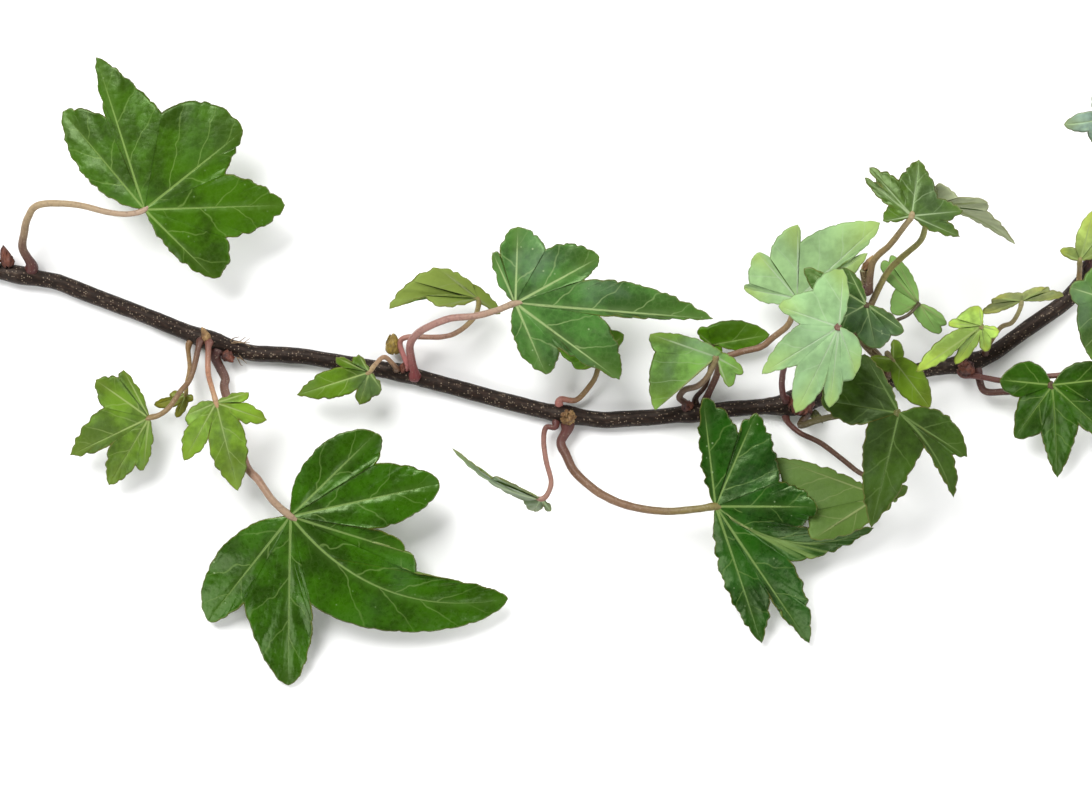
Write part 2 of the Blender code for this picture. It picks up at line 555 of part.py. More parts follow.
def box_of(things):
    """Lowest and highest corners of the objects as they are shown."""
    graph = bpy.context.evaluated_depsgraph_get()
    corners = []
    for thing in things:
        shown = thing.evaluated_get(graph)
        mesh = shown.to_mesh()
        spots = np.empty(len(mesh.vertices) * 3, dtype=np.float32)
        mesh.vertices.foreach_get("co", spots)
        spots = spots.reshape(-1, 3)
        corners += [spots.min(axis=0), spots.max(axis=0)]
        shown.to_mesh_clear()
    return np.min(corners, axis=0), np.max(corners, axis=0)


def main():
    """Model the whole sprig and stand it centred on the origin."""
    clear_scene()
    collection = bpy.data.collections.new("ivy_stem")
    bpy.context.scene.collection.children.link(collection)
    bark = make_material("bark", COLOURS["bark"], 0.75)
    things = [make_stem(bark, collection)]
    things.append(make_shoot(make_material("shoot_bark", COLOURS["bark"], 0.7), collection))
    for number, leaf in LEAVES.items():
        skin = make_material(f"blade_{number}", COLOURS[leaf.colour], 0.4)
        things.append(make_blade(number, leaf, skin, collection))
        rind = make_material(f"stalk_{number}", COLOURS["stalk"], 0.5)
        things.append(make_stalk(number, leaf, rind, collection))
    for node in BUDS:
        scale = make_material(f"scale_{node}", COLOURS["bud"], 0.7)
        things.append(make_bud(node, scale, collection))
    low, high = box_of(things)
    middle = (low + high) / 2
    root = bpy.data.objects.new("sprig_origin", None)
    collection.objects.link(root)
    root.location = (-float(middle[0]), -float(middle[1]), -float(low[2]))
    for thing in things:
        thing.parent = root


main()
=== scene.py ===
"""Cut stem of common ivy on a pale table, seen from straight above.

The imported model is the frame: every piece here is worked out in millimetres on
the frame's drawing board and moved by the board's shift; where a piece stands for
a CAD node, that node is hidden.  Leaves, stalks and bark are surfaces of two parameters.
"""
import json
import logging
import math
from dataclasses import dataclass, replace
from enum import Enum
from functools import partialmethod
from typing import Dict, List, Optional, Sequence, Tuple

import bpy
import numpy as np
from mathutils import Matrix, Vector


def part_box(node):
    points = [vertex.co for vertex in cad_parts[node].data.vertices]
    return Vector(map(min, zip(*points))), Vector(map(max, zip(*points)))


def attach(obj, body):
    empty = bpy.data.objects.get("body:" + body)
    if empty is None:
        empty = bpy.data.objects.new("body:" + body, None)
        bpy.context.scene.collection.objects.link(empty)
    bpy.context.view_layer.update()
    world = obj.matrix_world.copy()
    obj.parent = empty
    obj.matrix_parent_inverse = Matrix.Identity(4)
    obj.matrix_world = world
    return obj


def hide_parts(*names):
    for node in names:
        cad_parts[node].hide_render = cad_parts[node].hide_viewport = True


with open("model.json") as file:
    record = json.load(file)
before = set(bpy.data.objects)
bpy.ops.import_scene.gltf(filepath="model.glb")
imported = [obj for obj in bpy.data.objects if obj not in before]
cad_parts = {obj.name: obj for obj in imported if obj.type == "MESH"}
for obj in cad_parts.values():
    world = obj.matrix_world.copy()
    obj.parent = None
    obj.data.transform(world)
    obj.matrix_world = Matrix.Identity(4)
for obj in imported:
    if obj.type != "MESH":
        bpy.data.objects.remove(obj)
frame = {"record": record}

Triple = Tuple[float, float, float]
log = logging.getLogger("ivy")

MM = 0.001
ROOT = "root"

# Sizes, in millimetres.
STEM_DIAMETER = 3.2
SHOOT_DIAMETER = 2.0      # at the side shoot's foot
BLADE_THICKNESS = 0.34
CLEARANCE = 0.3           # between the stem and the foot of the side shoot's line
CAMERA_HEIGHT = 819.0     # above the table
WELD = 1e-4               # distance within which points are one

SHOOT_TURN = 50           # degrees round the stem at which the shoot leaves it
SHOOT_START = 0.8         # length by which it first goes straight out
SHOOT_STEP = 2.5          # between the points of its line
SHOOT_TAPER = 0.2         # share of its thickness that it loses by its end
STALK_TAPER = 0.6         # power of the length by which a stalk thins to its neck
DROOP = 1.5               # power of the length by which a lobe leaves its joint's height
LIGHT_LEVEL = 1.9         # how much brighter than its colour a flat surface shows

# The stem's centre line seen from above, on the drawing board.
STEM_LINE = np.array([
    (-111.5, 26.2), (-97.0, 23.4), (-89.0, 20.2), (-79.0, 16.5), (-69.0, 12.5),
    (-59.0, 9.4), (-49.0, 8.8), (-29.0, 5.5), (-9.0, 0.0), (1.0, -2.5),
    (11.0, -4.0), (21.0, -3.5), (35.0, -2.0), (47.0, -1.0), (61.0, 2.0),
    (75.0, 6.0), (85.0, 7.5), (89.5, 9.5), (95.0, 13.5), (103.0, 19.0),
    (109.0, 25.0), (114.0, 30.0),
])


@dataclass(frozen=True)
class Node:
    """A swelling of the stem where leaves grow: place along X, extra radius, half width."""

    place: float
    extra: float
    width: float


NODES: Dict[str, Node] = {
    "n1": Node(-105.0, 0.3, 2.5),
    "n2": Node(-67.0, 0.4, 3.0),
    "n3": Node(-29.0, 0.3, 2.5),
    "n4": Node(4.0, 0.4, 2.5),
    "n5": Node(29.5, 0.3, 2.5),
    "n6": Node(50.0, 1.0, 4.0),
    "shoot": Node(68.0, 0.3, 2.5),
    "n7": Node(84.0, 0.5, 2.5),
    "n8": Node(108.0, 0.4, 2.5),
}

# The side shoot's line after it leaves the stem.
SHOOT_LINE = np.array([
    (66.0, 8.5, 5.0), (63.0, 11.5, 7.0), (61.0, 14.5, 8.5), (61.5, 18.5, 10.0),
    (63.0, 22.5, 12.0), (62.5, 25.5, 13.5),
])


class Grows(Enum):
    """The stem that a stalk grows on."""

    MAIN = "main"
    SIDE = "side"


class Meets(Enum):
    """How a stalk meets its blade."""

    EDGE = 0
    UNDER = -1
    OVER = 1


class Face(Enum):
    """The face of a blade that looks up."""

    UPPER = 1
    LOWER = -1


def paint(red: float, green: float, blue: float) -> Tuple[float, float, float, float]:
    """Surface colour that shows as the given display values under this stage's lamps.

    The display values, 0 to 255, turn linear by the sRGB curve and are
    divided by how much brighter than its own colour a flat surface shows.

    Args:
        red: display red.
        green: display green.
        blue: display blue.

    Returns:
        Linear red, green and blue, with an alpha of one.
    """
    shown = np.array([red, green, blue]) / 255.0
    linear = np.where(shown <= 0.04045, shown / 12.92, ((shown + 0.055) / 1.055) ** 2.4)
    return (*(linear / LIGHT_LEVEL).tolist(), 1.0)


@dataclass(frozen=True)
class LeafSkin:
    """Finish of one blade: display colours, gloss and marks."""

    tone: Triple
    vein: Triple
    contrast: float = 0.22
    under: Triple = (104, 132, 62)
    under_vein: Triple = (158, 170, 108)
    rim: Triple = (128, 112, 40)
    gloss: float = 0.32
    specks: float = 0.3
    # share of pale patches painted on the upper face: painted sheen, where lamps would glint on a curved
    # blade
    painted_sheen: float = 0.15
    veining: float = 0.6
    sheen: Triple = (0.72, 1.0, 0.5)

    def toned(self, *tone: float) -> "LeafSkin":
        """The same finish in another main colour."""
        return replace(self, tone=tone)

    def shade(self, share: float) -> Tuple[float, float, float, float]:
        """The main colour, lighter or darker by a share of the contrast."""
        return paint(*(c * (1 + share * self.contrast) for c in self.tone))


GLOSSY = LeafSkin((54, 96, 6), (138, 168, 90), specks=0.5, gloss=0.27, painted_sheen=0.05)
BRIGHT = LeafSkin((70, 110, 8), (144, 176, 88), specks=0.25, painted_sheen=0.04)
BLUISH = LeafSkin((80, 122, 58), (178, 204, 134), specks=0.8, veining=0.75, painted_sheen=0.3)
# Pale green lightened to stand in for sheen: painted sheen over the whole blade, on top of the leaf's own
# green.
PAINTED_SHEEN_MINT = LeafSkin((160, 200, 138), (202, 226, 186), contrast=0.1, painted_sheen=0.3, gloss=0.46, specks=0.1,
                rim=(150, 170, 110))
OLIVE = LeafSkin((58, 84, 22), (112, 138, 72), specks=0.1, gloss=0.42, painted_sheen=0.04)
FRESH = LeafSkin((100, 132, 40), (172, 192, 112), specks=0.15, gloss=0.42)
PALE_BACK = LeafSkin((90, 124, 46), (170, 190, 120), gloss=0.52, painted_sheen=0.3, specks=0.1)
SILVER = LeafSkin((110, 144, 80), (184, 206, 154), painted_sheen=0.45, specks=0.15)


@dataclass(frozen=True)
class Stalk:
    """A leaf's stalk.

    grows and place say where it leaves (X on the stem, share of the length on
    the shoot), turn is its angle round the stem from the +Y side, foot and
    neck are its diameters, and route lists the points that it passes.
    """

    grows: Grows
    place: float
    turn: float
    foot: float
    neck: float
    route: Tuple[Triple, ...]
    meets: Meets = Meets.EDGE
    colours: Tuple[Tuple[int, int, int], ...] = ((92, 48, 44), (150, 112, 92), (176, 160, 116))


@dataclass(frozen=True)
class LeafPlan:
    """One leaf: its joint, lobe tips and notches anticlockwise from the stalk.

    A tip is (x, y, height) from the joint, and may go on with how full its
    right and left margins are and with the bow of its vein, as shares of the
    length.  full holds the fullness of the first side, the inner sides and
    the last side.  ruffle is the height of the margin's waves, teeth the depth
    of its scallops and blunt how round the tips are, from 0 to 1.
    """

    joint: Triple
    tips: Tuple[Tuple[float, ...], ...]
    notches: Tuple[Tuple[float, float], ...]
    stalk: Stalk
    skin: LeafSkin
    full: Triple = (0.12, 0.12, 0.12)
    face: Face = Face.UPPER
    ruffle: float = 0.35
    teeth: float = 0.3
    blunt: float = 0.3


PLANS: Dict[str, LeafPlan] = {
    "01": LeafPlan(
        (-79.0, 37.5, 13.0),
        ((13.5, -13.5, -4, 0.12, 0.2), (27.5, 1.0, -3, 0.11, 0.08), (19.5, 15.5, 1, -0.03, 0.26),
         (-9.5, 30.0, 0, 0.03, 0.02), (-16.5, 19.5, -3, 0.08, 0.21)),
        ((16.0, -5.5), (16.0, 7.0), (3.5, 19.0), (-7.8, 18.3)),
        Stalk(Grows.MAIN, -103.0, 30, 2.0, 1.0,
              ((-104, 30, 5), (-103.5, 33, 7), (-102.5, 36, 9), (-100, 38.5, 11), (-93, 38.5, 12.5),
               (-86, 36.9, 13), (-82, 36.6, 13)), Meets.EDGE,
              ((92, 44, 42), (196, 170, 128), (206, 176, 150))),
        BRIGHT.toned(58, 98, 0), blunt=0.5, teeth=0.42),
    "02": LeafPlan(
        (-50.5, -23.0, 9.0),
        ((-17, -21, -7, 0.27, 0.05), (-1, -34, -8, 0.07, 0.1), (43, -16.5, -5, 0.17, 0.03, -0.15),
         (22.5, -7, -1, 0.1, 0.12), (29.5, 6.5, 2, 0.13, 0.09), (17, 16.5, 3, 0.13, 0.27)),
        ((-9.5, -17.5), (4, -17.5), (25, -11.5), (16, -2.5), (17, 10.5)),
        Stalk(Grows.MAIN, -65.0, 172, 2.0, 1.4,
              ((-64, 4.5, 2.5), (-64, 2, 3), (-61.5, -6, 4.5), (-59.5, -13, 6), (-57, -16, 7),
               (-54, -20, 8.5)), Meets.EDGE,
              ((86, 46, 40), (176, 132, 108), (184, 156, 124))),
        GLOSSY.toned(48, 92, 0), blunt=0.9, teeth=0.24),
    "03": LeafPlan(
        (-78.5, -3.5, 9.0),
        ((-5, 9.5, 1), (-10.5, 7.5, 1), (-16, -7.5, -3), (-8.5, -13.5, -5), (-1.5, -10.5, -4)),
        ((-6, 8), (-9, 2), (-7.5, -5), (-3, -9.5)),
        Stalk(Grows.MAIN, -68.5, 118, 1.2, 1.0,
              ((-70.5, 4.5, 6), (-72.5, 1.5, 8.5), (-74.5, -1.5, 9.5), (-76.5, -3, 9.5)), Meets.EDGE,
              ((104, 62, 50), (150, 116, 78), (168, 142, 92))),
        FRESH.toned(98, 132, 30), blunt=0.1, teeth=0.5, full=(0.1, 0.1, 0.12)),
    "04": LeafPlan(
        (-65.0, -0.5, 12.0),
        ((-6, -2.5, -1), (-6.5, -11.5, -2), (4, -17.5, -4), (10, -3.5, -1), (6.5, 2, 0)),
        ((-5.5, -4.5), (-1.5, -6.5), (4.5, -3.5), (5, 0)),
        Stalk(Grows.MAIN, -66.8, 110, 1.2, 1.0,
              ((-67, 5.5, 7), (-66, 2.5, 10.5)), Meets.EDGE,
              ((128, 76, 66), (196, 140, 108), (206, 168, 122))),
        FRESH.toned(116, 152, 38), blunt=0.1, teeth=0.45, full=(0.22, 0.14, 0.12)),
    "05": LeafPlan(
        (-71.5, 1.0, 6.0),
        ((-3, 0.5, -1), (-6.5, -2, -2), (-2, -4.5, -1), (1.5, -0.5, 0)),
        ((-3, -0.5), (-1.5, -2), (0.5, -1.5)),
        Stalk(Grows.MAIN, -70.3, 165, 1.0, 0.8,
              ((-71, 6.5, 3), (-71.5, 3, 4.5)), Meets.EDGE,
              ((150, 112, 70), (176, 140, 84), (170, 150, 80))),
        FRESH.toned(130, 130, 10), full=(0.15, 0.12, 0.15)),
    "06": LeafPlan(
        (-35.0, 5.5, 9.0),
        ((-2, 3.5, 1), (-6.5, 3, 1), (-14.5, -4.5, -2), (-2, -6.5, -2), (2.5, -3.5, -1)),
        ((-3.5, 2), (-5.5, 1), (-2.5, -3.5), (0.5, -5)),
        Stalk(Grows.MAIN, -30.0, 75, 1.0, 0.9,
              ((-32, 8.5, 7), (-33.8, 7, 8.6)), Meets.EDGE,
              ((110, 78, 56), (186, 146, 110), (186, 164, 112))),
        FRESH.toned(82, 116, 0), blunt=0.0, teeth=0.5, full=(0.15, 0.12, 0.15)),
    "07": LeafPlan(
        (-13.5, 20.0, 9.0),
        ((4.5, -3, -2, 0.1, 0.1), (-7.5, 6, 2, 0.08, 0.1), (-17.5, -2, 2, 0.08, -0.03, -0.09),
         (-6.5, -1.5, 4, 0.1, 0.05)),
        ((-1, 3), (-13, 3.5), (-10.5, 0.5)),
        Stalk(Grows.MAIN, -28.2, 48, 1.1, 1.0,
              ((-29, 11, 4.5), (-27.5, 12.5, 5.5), (-21, 12.5, 6.5), (-17.5, 13.5, 7), (-14.5, 16, 7.5),
               (-13.5, 18, 8.5)), Meets.EDGE,
              ((214, 130, 128), (186, 140, 116), (168, 156, 84))),
        replace(PALE_BACK, under=(136, 156, 66)), ruffle=0.8, teeth=0.5, face=Face.LOWER),
    "08": LeafPlan(
        (-6.0, 19.0, 16.0),
        ((6, -14, -4, 0.22, 0.15), (20.5, -15, -4, 0, 0.13), (39, -3, -4, 0, 0.09),
         (16.5, 9, 1, 0.05, 0.18), (0.5, 15, 1, 0.11, 0.17), (-4.5, 10, 0, 0, 0.13)),
        ((8.5, -9), (16.5, -2.5), (13.5, 4.5), (6, 10.5), (-3, 9.5)),
        Stalk(Grows.MAIN, -26.3, 80, 1.8, 1.2,
              ((-27, 10.5, 7.5), (-25.5, 13, 9.5), (-23, 14.5, 11.5), (-19, 16, 13), (-14, 16.5, 14),
               (-10, 17.5, 15)), Meets.EDGE,
              ((136, 54, 56), (190, 142, 128), (196, 170, 136))),
        BLUISH.toned(74, 120, 52), teeth=0.42),
    "09": LeafPlan(
        (10.5, 8.5, 5.0),
        ((5, 4.5, 1), (-3.5, 8, 1), (-8.5, 3, 0), (-3.5, -2.5, 0)),
        ((-1, 5), (-5.5, 4.5), (-5.5, -1)),
        Stalk(Grows.MAIN, 2.5, 15, 1.2, 1.0,
              ((6, 0, 2.5), (8.5, 2.5, 3.5), (10, 5, 4.5)), Meets.EDGE,
              ((206, 132, 122), (150, 118, 74), (132, 122, 60))),
        FRESH.toned(106, 160, 44), full=(0.2, 0.12, 0.15)),
    "10": LeafPlan(
        (-1.0, -19.5, 12.0),
        ((-8.3, 4.3, 6, 0, 0.05), (-17.5, 10, 0, 0, 0.06, 0.09), (-1.5, -2.5, -6), (2, -2.5, -4)),
        ((-9.7, 4), (-3.5, -0.4), (0.5, -1.5)),
        Stalk(Grows.MAIN, 2.2, 160, 1.1, 1.0,
              ((0, -5.5, 3), (-0.5, -8, 4.5), (0, -12, 7), (1, -16, 10), (0.3, -18.5, 11.5)), Meets.EDGE,
              ((110, 58, 52), (178, 126, 110), (176, 132, 112))),
        SILVER.toned(116, 136, 98), full=(0.08, 0.08, 0.1)),
    "11": LeafPlan(
        (33.5, 8.5, 13.0),
        ((2.5, -6, -2), (5.5, -3, -2), (-13, 4.5, 1), (-12, -10.5, -4)),
        ((4, -3.5), (1, 1), (-12, 1)),
        Stalk(Grows.MAIN, 28.0, 45, 1.4, 1.1,
              ((26.5, 0.5, 5), (27.5, 2, 6.5), (30.2, 2.9, 9), (32.2, 5.2, 11.4)), Meets.EDGE,
              ((96, 60, 54), (136, 108, 80), (150, 136, 84))),
        SILVER.toned(118, 164, 74), full=(0.04, 0.1, -0.05)),
    "12": LeafPlan(
        (33.0, 11.0, 5.0),
        ((1, -2.5, 0), (11.5, 2, 0), (-3, 2.5, 0)),
        ((2, -0.5), (-1, 3.5)),
        Stalk(Grows.MAIN, 30.2, 10, 1.0, 0.9,
              ((31.9, 3, 2.5), (32.8, 7, 3)), Meets.UNDER,
              ((74, 40, 34), (96, 64, 46), (110, 84, 56))),
        # Tone lighter than the blade's own green: painted light against the shade from the blades above
        # it.
        BRIGHT.toned(94, 150, 8), full=(0.12, 0.18, 0.12)),
    "13": LeafPlan(
        (49.5, 20.0, 13.0),
        ((14, 9, -2, 0.16, 0), (16.5, 15, -2, 0.1, 0.11), (0, 14.5, 1, 0.04, 0.17),
         (-8, 9, 0, 0.05, 0.1), (-10.5, 2, -2, 0, 0.2)),
        ((9.5, 7.3), (0.5, 11), (-5.5, 8), (-9.5, 3)),
        Stalk(Grows.MAIN, 32.2, 25, 1.4, 1.2,
              ((33.8, 4.4, 4), (35, 8, 7), (38.5, 9.5, 8.5), (42.5, 10.5, 9.5), (45, 12.5, 10.5),
               (47.5, 14.5, 11.5), (48.5, 16.5, 12.3)), Meets.EDGE,
              ((98, 52, 46), (150, 112, 82), (166, 142, 92))),
        PAINTED_SHEEN_MINT.toned(172, 212, 146)),
    "14": LeafPlan(
        (56.0, 14.0, 36.0),
        ((1, 11, -2, 0.13, 0.2), (-11.5, 4, -2, 0.07, 0), (-14.5, -9, -5, 0.08, -0.03),
         (-8, -16.5, -5, 0.06, 0.1), (-1.5, -15.5, -5, 0.08, 0.1), (3.5, -9, -3, 0.1, 0.3)),
        ((-5, 7), (-7.5, 0.5), (-8, -7.5), (-2.5, -10.5), (1, -10.5)),
        Stalk(Grows.MAIN, 48.0, 70, 1.3, 1.1,
              ((47, 1, 7), (46.5, 4, 12), (47, 7.5, 19), (49.5, 10.5, 26), (52.5, 13, 32)), Meets.UNDER,
              ((112, 60, 58), (120, 74, 70), (140, 96, 80))),
        PAINTED_SHEEN_MINT.toned(164, 206, 144)),
    "15": LeafPlan(
        (62.0, 18.5, 26.0),
        ((-3.5, 7, -1), (-12, 7, -2), (-8, -4.5, -2), (2, -8.5, -2), (7.5, -5, -2)),
        ((-7.5, 5.5), (-6.5, 0), (-2, -5.5), (5, -6)),
        Stalk(Grows.SIDE, 0.42, 60, 1.0, 0.9,
              ((62.5, 13.5, 15), (63.5, 15.5, 22)), Meets.UNDER,
              ((96, 54, 48), (104, 66, 50), (110, 88, 60))),
        BLUISH.toned(60, 98, 32), full=(0.14, 0.12, 0.14)),
    "16": LeafPlan(
        (68.5, -2.5, 24.0),
        ((-6.5, 11.5, -2, 0.1, 0.03), (-15, 2.5, -3, 0.08, 0.2), (-5, -22.5, -5, 0.07, 0.03),
         (11, -16.5, -4, -0.03, 0.07, 0.07), (13.5, -8.5, -2, 0, 0.33)),
        ((-11.5, 8), (-6, -2), (5, -6.5), (10.6, -8.2)),
        Stalk(Grows.MAIN, 51.3, 140, 1.5, 1.2,
              ((50.5, -5, 7), (53.5, -4, 11), (58, -3, 15), (63.5, -2.5, 20)), Meets.UNDER,
              ((72, 44, 32), (104, 98, 52), (120, 122, 62))),
        OLIVE.toned(50, 78, 6), teeth=0.5),
    "17": LeafPlan(
        (66.0, -19.0, 9.5),
        ((-20.5, 7.5, -3), (-13.5, -8.5, 2), (2.5, -1, 0), (5.5, 2, 0)),
        ((-13.5, -3), (-1, -4), (3.5, -0.5)),
        Stalk(Grows.MAIN, 47.5, 175, 1.1, 1.0,
              ((50.5, -6.5, 3.2), (54.5, -8.5, 4.5), (58.5, -11.5, 5.5), (61.5, -14, 7.5),
               (65, -16.3, 9)), Meets.EDGE,
              ((108, 62, 54), (108, 72, 50), (112, 92, 56))),
        replace(PALE_BACK, under=(86, 116, 42)), teeth=0.45, full=(0.08, 0.12, 0.1), face=Face.LOWER),
    "18": LeafPlan(
        (33.5, -21.0, 10.0),
        ((9.5, -27.5, -8, 0.12, 0.02), (19, -27.5, -8, 0.02, 0.09), (32, -4.5, -8.5, 0.07, -0.04, -0.15),
         (20, 0, 3, 0.05, 0.1), (8, 18.5, 1, 0.08, 0.1), (-2.5, 21.5, 1, 0.1, 0.09)),
        ((11, -18.2), (15, -11), (16.5, -4), (12.5, 5), (4.5, 14.5)),
        Stalk(Grows.MAIN, 4.6, 172, 2.0, 1.4,
              ((3, -8.5, 2.5), (4, -11, 3.5), (5.5, -14, 4.5), (8, -16.5, 6), (11.5, -19, 7),
               (16.5, -21, 8), (23.5, -22, 9), (30, -21.5, 10)), Meets.EDGE,
              ((110, 62, 56), (148, 112, 80), (146, 136, 70))),
        GLOSSY.toned(30, 78, 6), teeth=0.6),
    "19": LeafPlan(
        (70.5, 35.5, 30.0),
        ((9.5, -4, -2), (10, 1, -1), (1.5, 11, -2), (-8, 9.5, -3), (-9, 7.5, -3), (-5.5, -1, -2)),
        ((7, -1), (5, 3.5), (-2.5, 7), (-5.8, 5.8), (-4.5, 2)),
        Stalk(Grows.SIDE, 0.95, 75, 1.5, 1.1,
              ((64, 27, 17.5), (67, 30.3, 21.5), (69.3, 33.6, 27)), Meets.EDGE,
              ((92, 54, 44), (174, 148, 98), (198, 176, 128))),
        replace(SILVER.toned(74, 106, 12), painted_sheen=0.12), teeth=0.6, blunt=0.1, full=(0.12, 0.06, 0.1)),
    "20": LeafPlan(
        (75.5, 38.0, 22.0),
        ((16.5, -7.5, -6, -0.05, 0.03, 0.07), (10, 0.5, 3), (0.5, 4, 4)),
        ((10.3, -1.2), (4.5, 1.3)),
        Stalk(Grows.SIDE, 0.62, -10, 1.5, 1.1,
              ((66.8, 24.5, 13.5), (69.8, 28, 17), (73, 31, 20.5), (74, 34, 21.5)), Meets.EDGE,
              ((104, 66, 50), (174, 164, 92), (184, 188, 116))),
        replace(PALE_BACK, under=(180, 188, 150)), ruffle=0.8, full=(0.05, 0.06, 0.1), face=Face.LOWER),
    "21": LeafPlan(
        (73.5, 19.0, 12.0),
        ((-5, 9.5, 0), (-7.5, 8, 0), (-5, -2, -3), (4, -6, -2), (5.5, -3.5, -1)),
        ((-6, 8.3), (-4.5, 3), (-1.5, -1), (4.5, -4.5)),
        Stalk(Grows.SIDE, 0.46, -20, 0.8, 0.7,
              ((66, 13.5, 11.5), (68.7, 15.5, 13.3), (71.3, 16.8, 13.8)), Meets.OVER,
              ((62, 42, 34), (74, 58, 38), (86, 78, 44))),
        replace(PALE_BACK, under=(140, 184, 98)), ruffle=0.5, full=(0.14, 0.12, 0.12), face=Face.LOWER),
    "22": LeafPlan(
        (68.5, 8.0, 11.0),
        ((-4.5, 0.5, -1), (7.5, -9.5, -2), (0, 4, 1)),
        ((-0.5, -2.5), (2, 0.5)),
        Stalk(Grows.SIDE, 0.12, 75, 0.9, 0.8,
              ((67.3, 9.3, 9.5),), Meets.EDGE,
              ((110, 70, 56), (150, 130, 84), (170, 160, 100))),
        FRESH.toned(114, 148, 32), full=(0.1, 0.2, 0.1)),
    "23": LeafPlan(
        (85.5, 14.5, 15.0),
        ((-0.5, 4, 0), (-6.5, 0.5, 0), (-13, -9, 1), (-5, -7.5, -2), (1, -5, -2), (3.5, -1, 0)),
        ((-5, 1.5), (-4.5, -0.5), (-3.5, -3), (-0.5, -3), (2, -2.5)),
        Stalk(Grows.MAIN, 83.5, 60, 1.0, 0.9,
              ((84, 10, 7.5), (84.8, 12.2, 11)), Meets.UNDER,
              ((96, 56, 50), (130, 96, 70), (150, 140, 84))),
        FRESH.toned(184, 222, 102), full=(0.14, 0.1, 0.14)),
    "24": LeafPlan(
        (93.5, 19.5, 14.0),
        ((8.5, 1, -2), (4.5, 2.5, 3), (-5.5, 0.5, 2), (-7.5, -2.5, -2)),
        ((5.5, 2), (0, 1.5), (-6, -0.5)),
        Stalk(Grows.MAIN, 88.0, 65, 1.0, 0.9,
              ((90, 14.2, 7), (92.2, 15.4, 9.5), (93.3, 17.8, 12.5)), Meets.EDGE,
              ((108, 70, 56), (172, 152, 104), (182, 176, 116))),
        FRESH.toned(184, 194, 120), full=(0.05, 0.08, 0.08)),
    "25": LeafPlan(
        (100.0, 3.0, 10.0),
        ((-10.5, 1, 1, 0.45, 0.16), (-7, -10.5, -4, 0.04, 0.08), (2, -18.5, -8, 0.02, 0.03),
         (12, -10.5, -4, 0.08, 0.08), (13.5, 1.5, 1, 0.1, 0.33)),
        ((-6.5, -2.5), (-2, -9.5), (5.5, -8), (11, -4.5)),
        Stalk(Grows.MAIN, 85.3, 172, 1.6, 1.2,
              ((87.3, 1.8, 3.5), (90.8, 1.6, 5), (96, 2, 7)), Meets.UNDER,
              ((104, 58, 52), (104, 66, 52), (110, 84, 58))),
        BRIGHT.toned(44, 86, 0)),
    "26": LeafPlan(
        (109.0, 20.0, 18.0),
        ((-0.5, 6.5, 0), (-6.5, 2, 0), (-1, -13, -3), (5, -7.5, -2), (6, 0.5, 0)),
        ((-4, 3.5), (-5, -1.5), (2, -6), (4, -3.5)),
        Stalk(Grows.MAIN, 82.6, 135, 1.2, 1.0,
              ((85, 4.8, 5), (87.5, 4.4, 5.3), (91, 3.9, 5.6), (98.3, 4.6, 6), (107, 5.8, 7.5),
               (112.7, 9.5, 10), (115, 16, 14), (112.5, 23, 17.3)), Meets.EDGE,
              ((128, 76, 70), (150, 104, 90), (120, 112, 66))),
        BLUISH.toned(84, 122, 56), full=(0.05, 0.12, 0.05)),
    "27": LeafPlan(
        (105.5, 27.5, 10.0),
        ((5, 2.5, 0), (2.5, 10, 1), (-4, 2, 0)),
        ((3.5, 4.5), (-1, 2.5)),
        Stalk(Grows.MAIN, 106.5, 75, 1.2, 1.0,
              ((105.8, 25.5, 7),), Meets.EDGE,
              ((160, 100, 86), (170, 140, 90), (170, 160, 96))),
        FRESH.toned(178, 202, 104)),
    "28": LeafPlan(
        (110.5, 55.0, 18.0),
        ((4.5, 4.5, 0), (-3, 5.5, 0), (-9, -1, -2), (-2.5, -5, -2)),
        ((0.5, 3), (-3.5, 1.5), (-4.5, -2.5)),
        Stalk(Grows.MAIN, 110.5, 55, 1.2, 1.0,
              ((112, 32, 6), (113.5, 40, 10), (115, 48, 14.5), (114, 53, 17)), Meets.EDGE,
              ((110, 70, 60), (140, 116, 80), (150, 140, 90))),
        SILVER.toned(144, 170, 154), full=(0.16, 0.12, 0.16)),
}

def smooth_path(points: np.ndarray, step: float) -> np.ndarray:
    """Points about step apart on the Catmull-Rom curve through the given ones.

    Between points b and c, with neighbours a and d, the curve is
    (2b + (c-a)t + (2a-5b+4c-d)t^2 + (3b-a-3c+d)t^3) / 2.

    Args:
        points: at least two points, one a row.
        step: wished distance between the new points.

    Returns:
        The new points, ends included.
    """
    line = np.vstack([2 * points[0] - points[1], points, 2 * points[-1] - points[-2]])
    path = []
    for a, b, c, d in zip(line, line[1:], line[2:], line[3:]):
        count = max(1, round(float(np.linalg.norm(c - b)) / step))
        t = (np.arange(count) / count)[:, None]
        path.append(0.5 * (2 * b + (c - a) * t + (2 * a - 5 * b + 4 * c - d) * t**2
                           + (3 * b - a - 3 * c + d) * t**3))
    return np.vstack(path + [line[-2]])


def even_path(points: np.ndarray, step: float) -> np.ndarray:
    """The smooth path through the points, with its stations step apart by length."""
    fine = smooth_path(points, step / 3)
    run = np.concatenate([[0.0], np.cumsum(np.linalg.norm(np.diff(fine, axis=0), axis=1))])
    stations = np.linspace(0.0, run[-1], max(6, round(run[-1] / step)) + 1)
    return np.stack([np.interp(stations, run, fine[:, k]) for k in range(3)], axis=1)


def unit(rows: np.ndarray) -> np.ndarray:
    """The rows at length one."""
    return rows / np.maximum(np.linalg.norm(rows, axis=-1, keepdims=True), 1e-9)


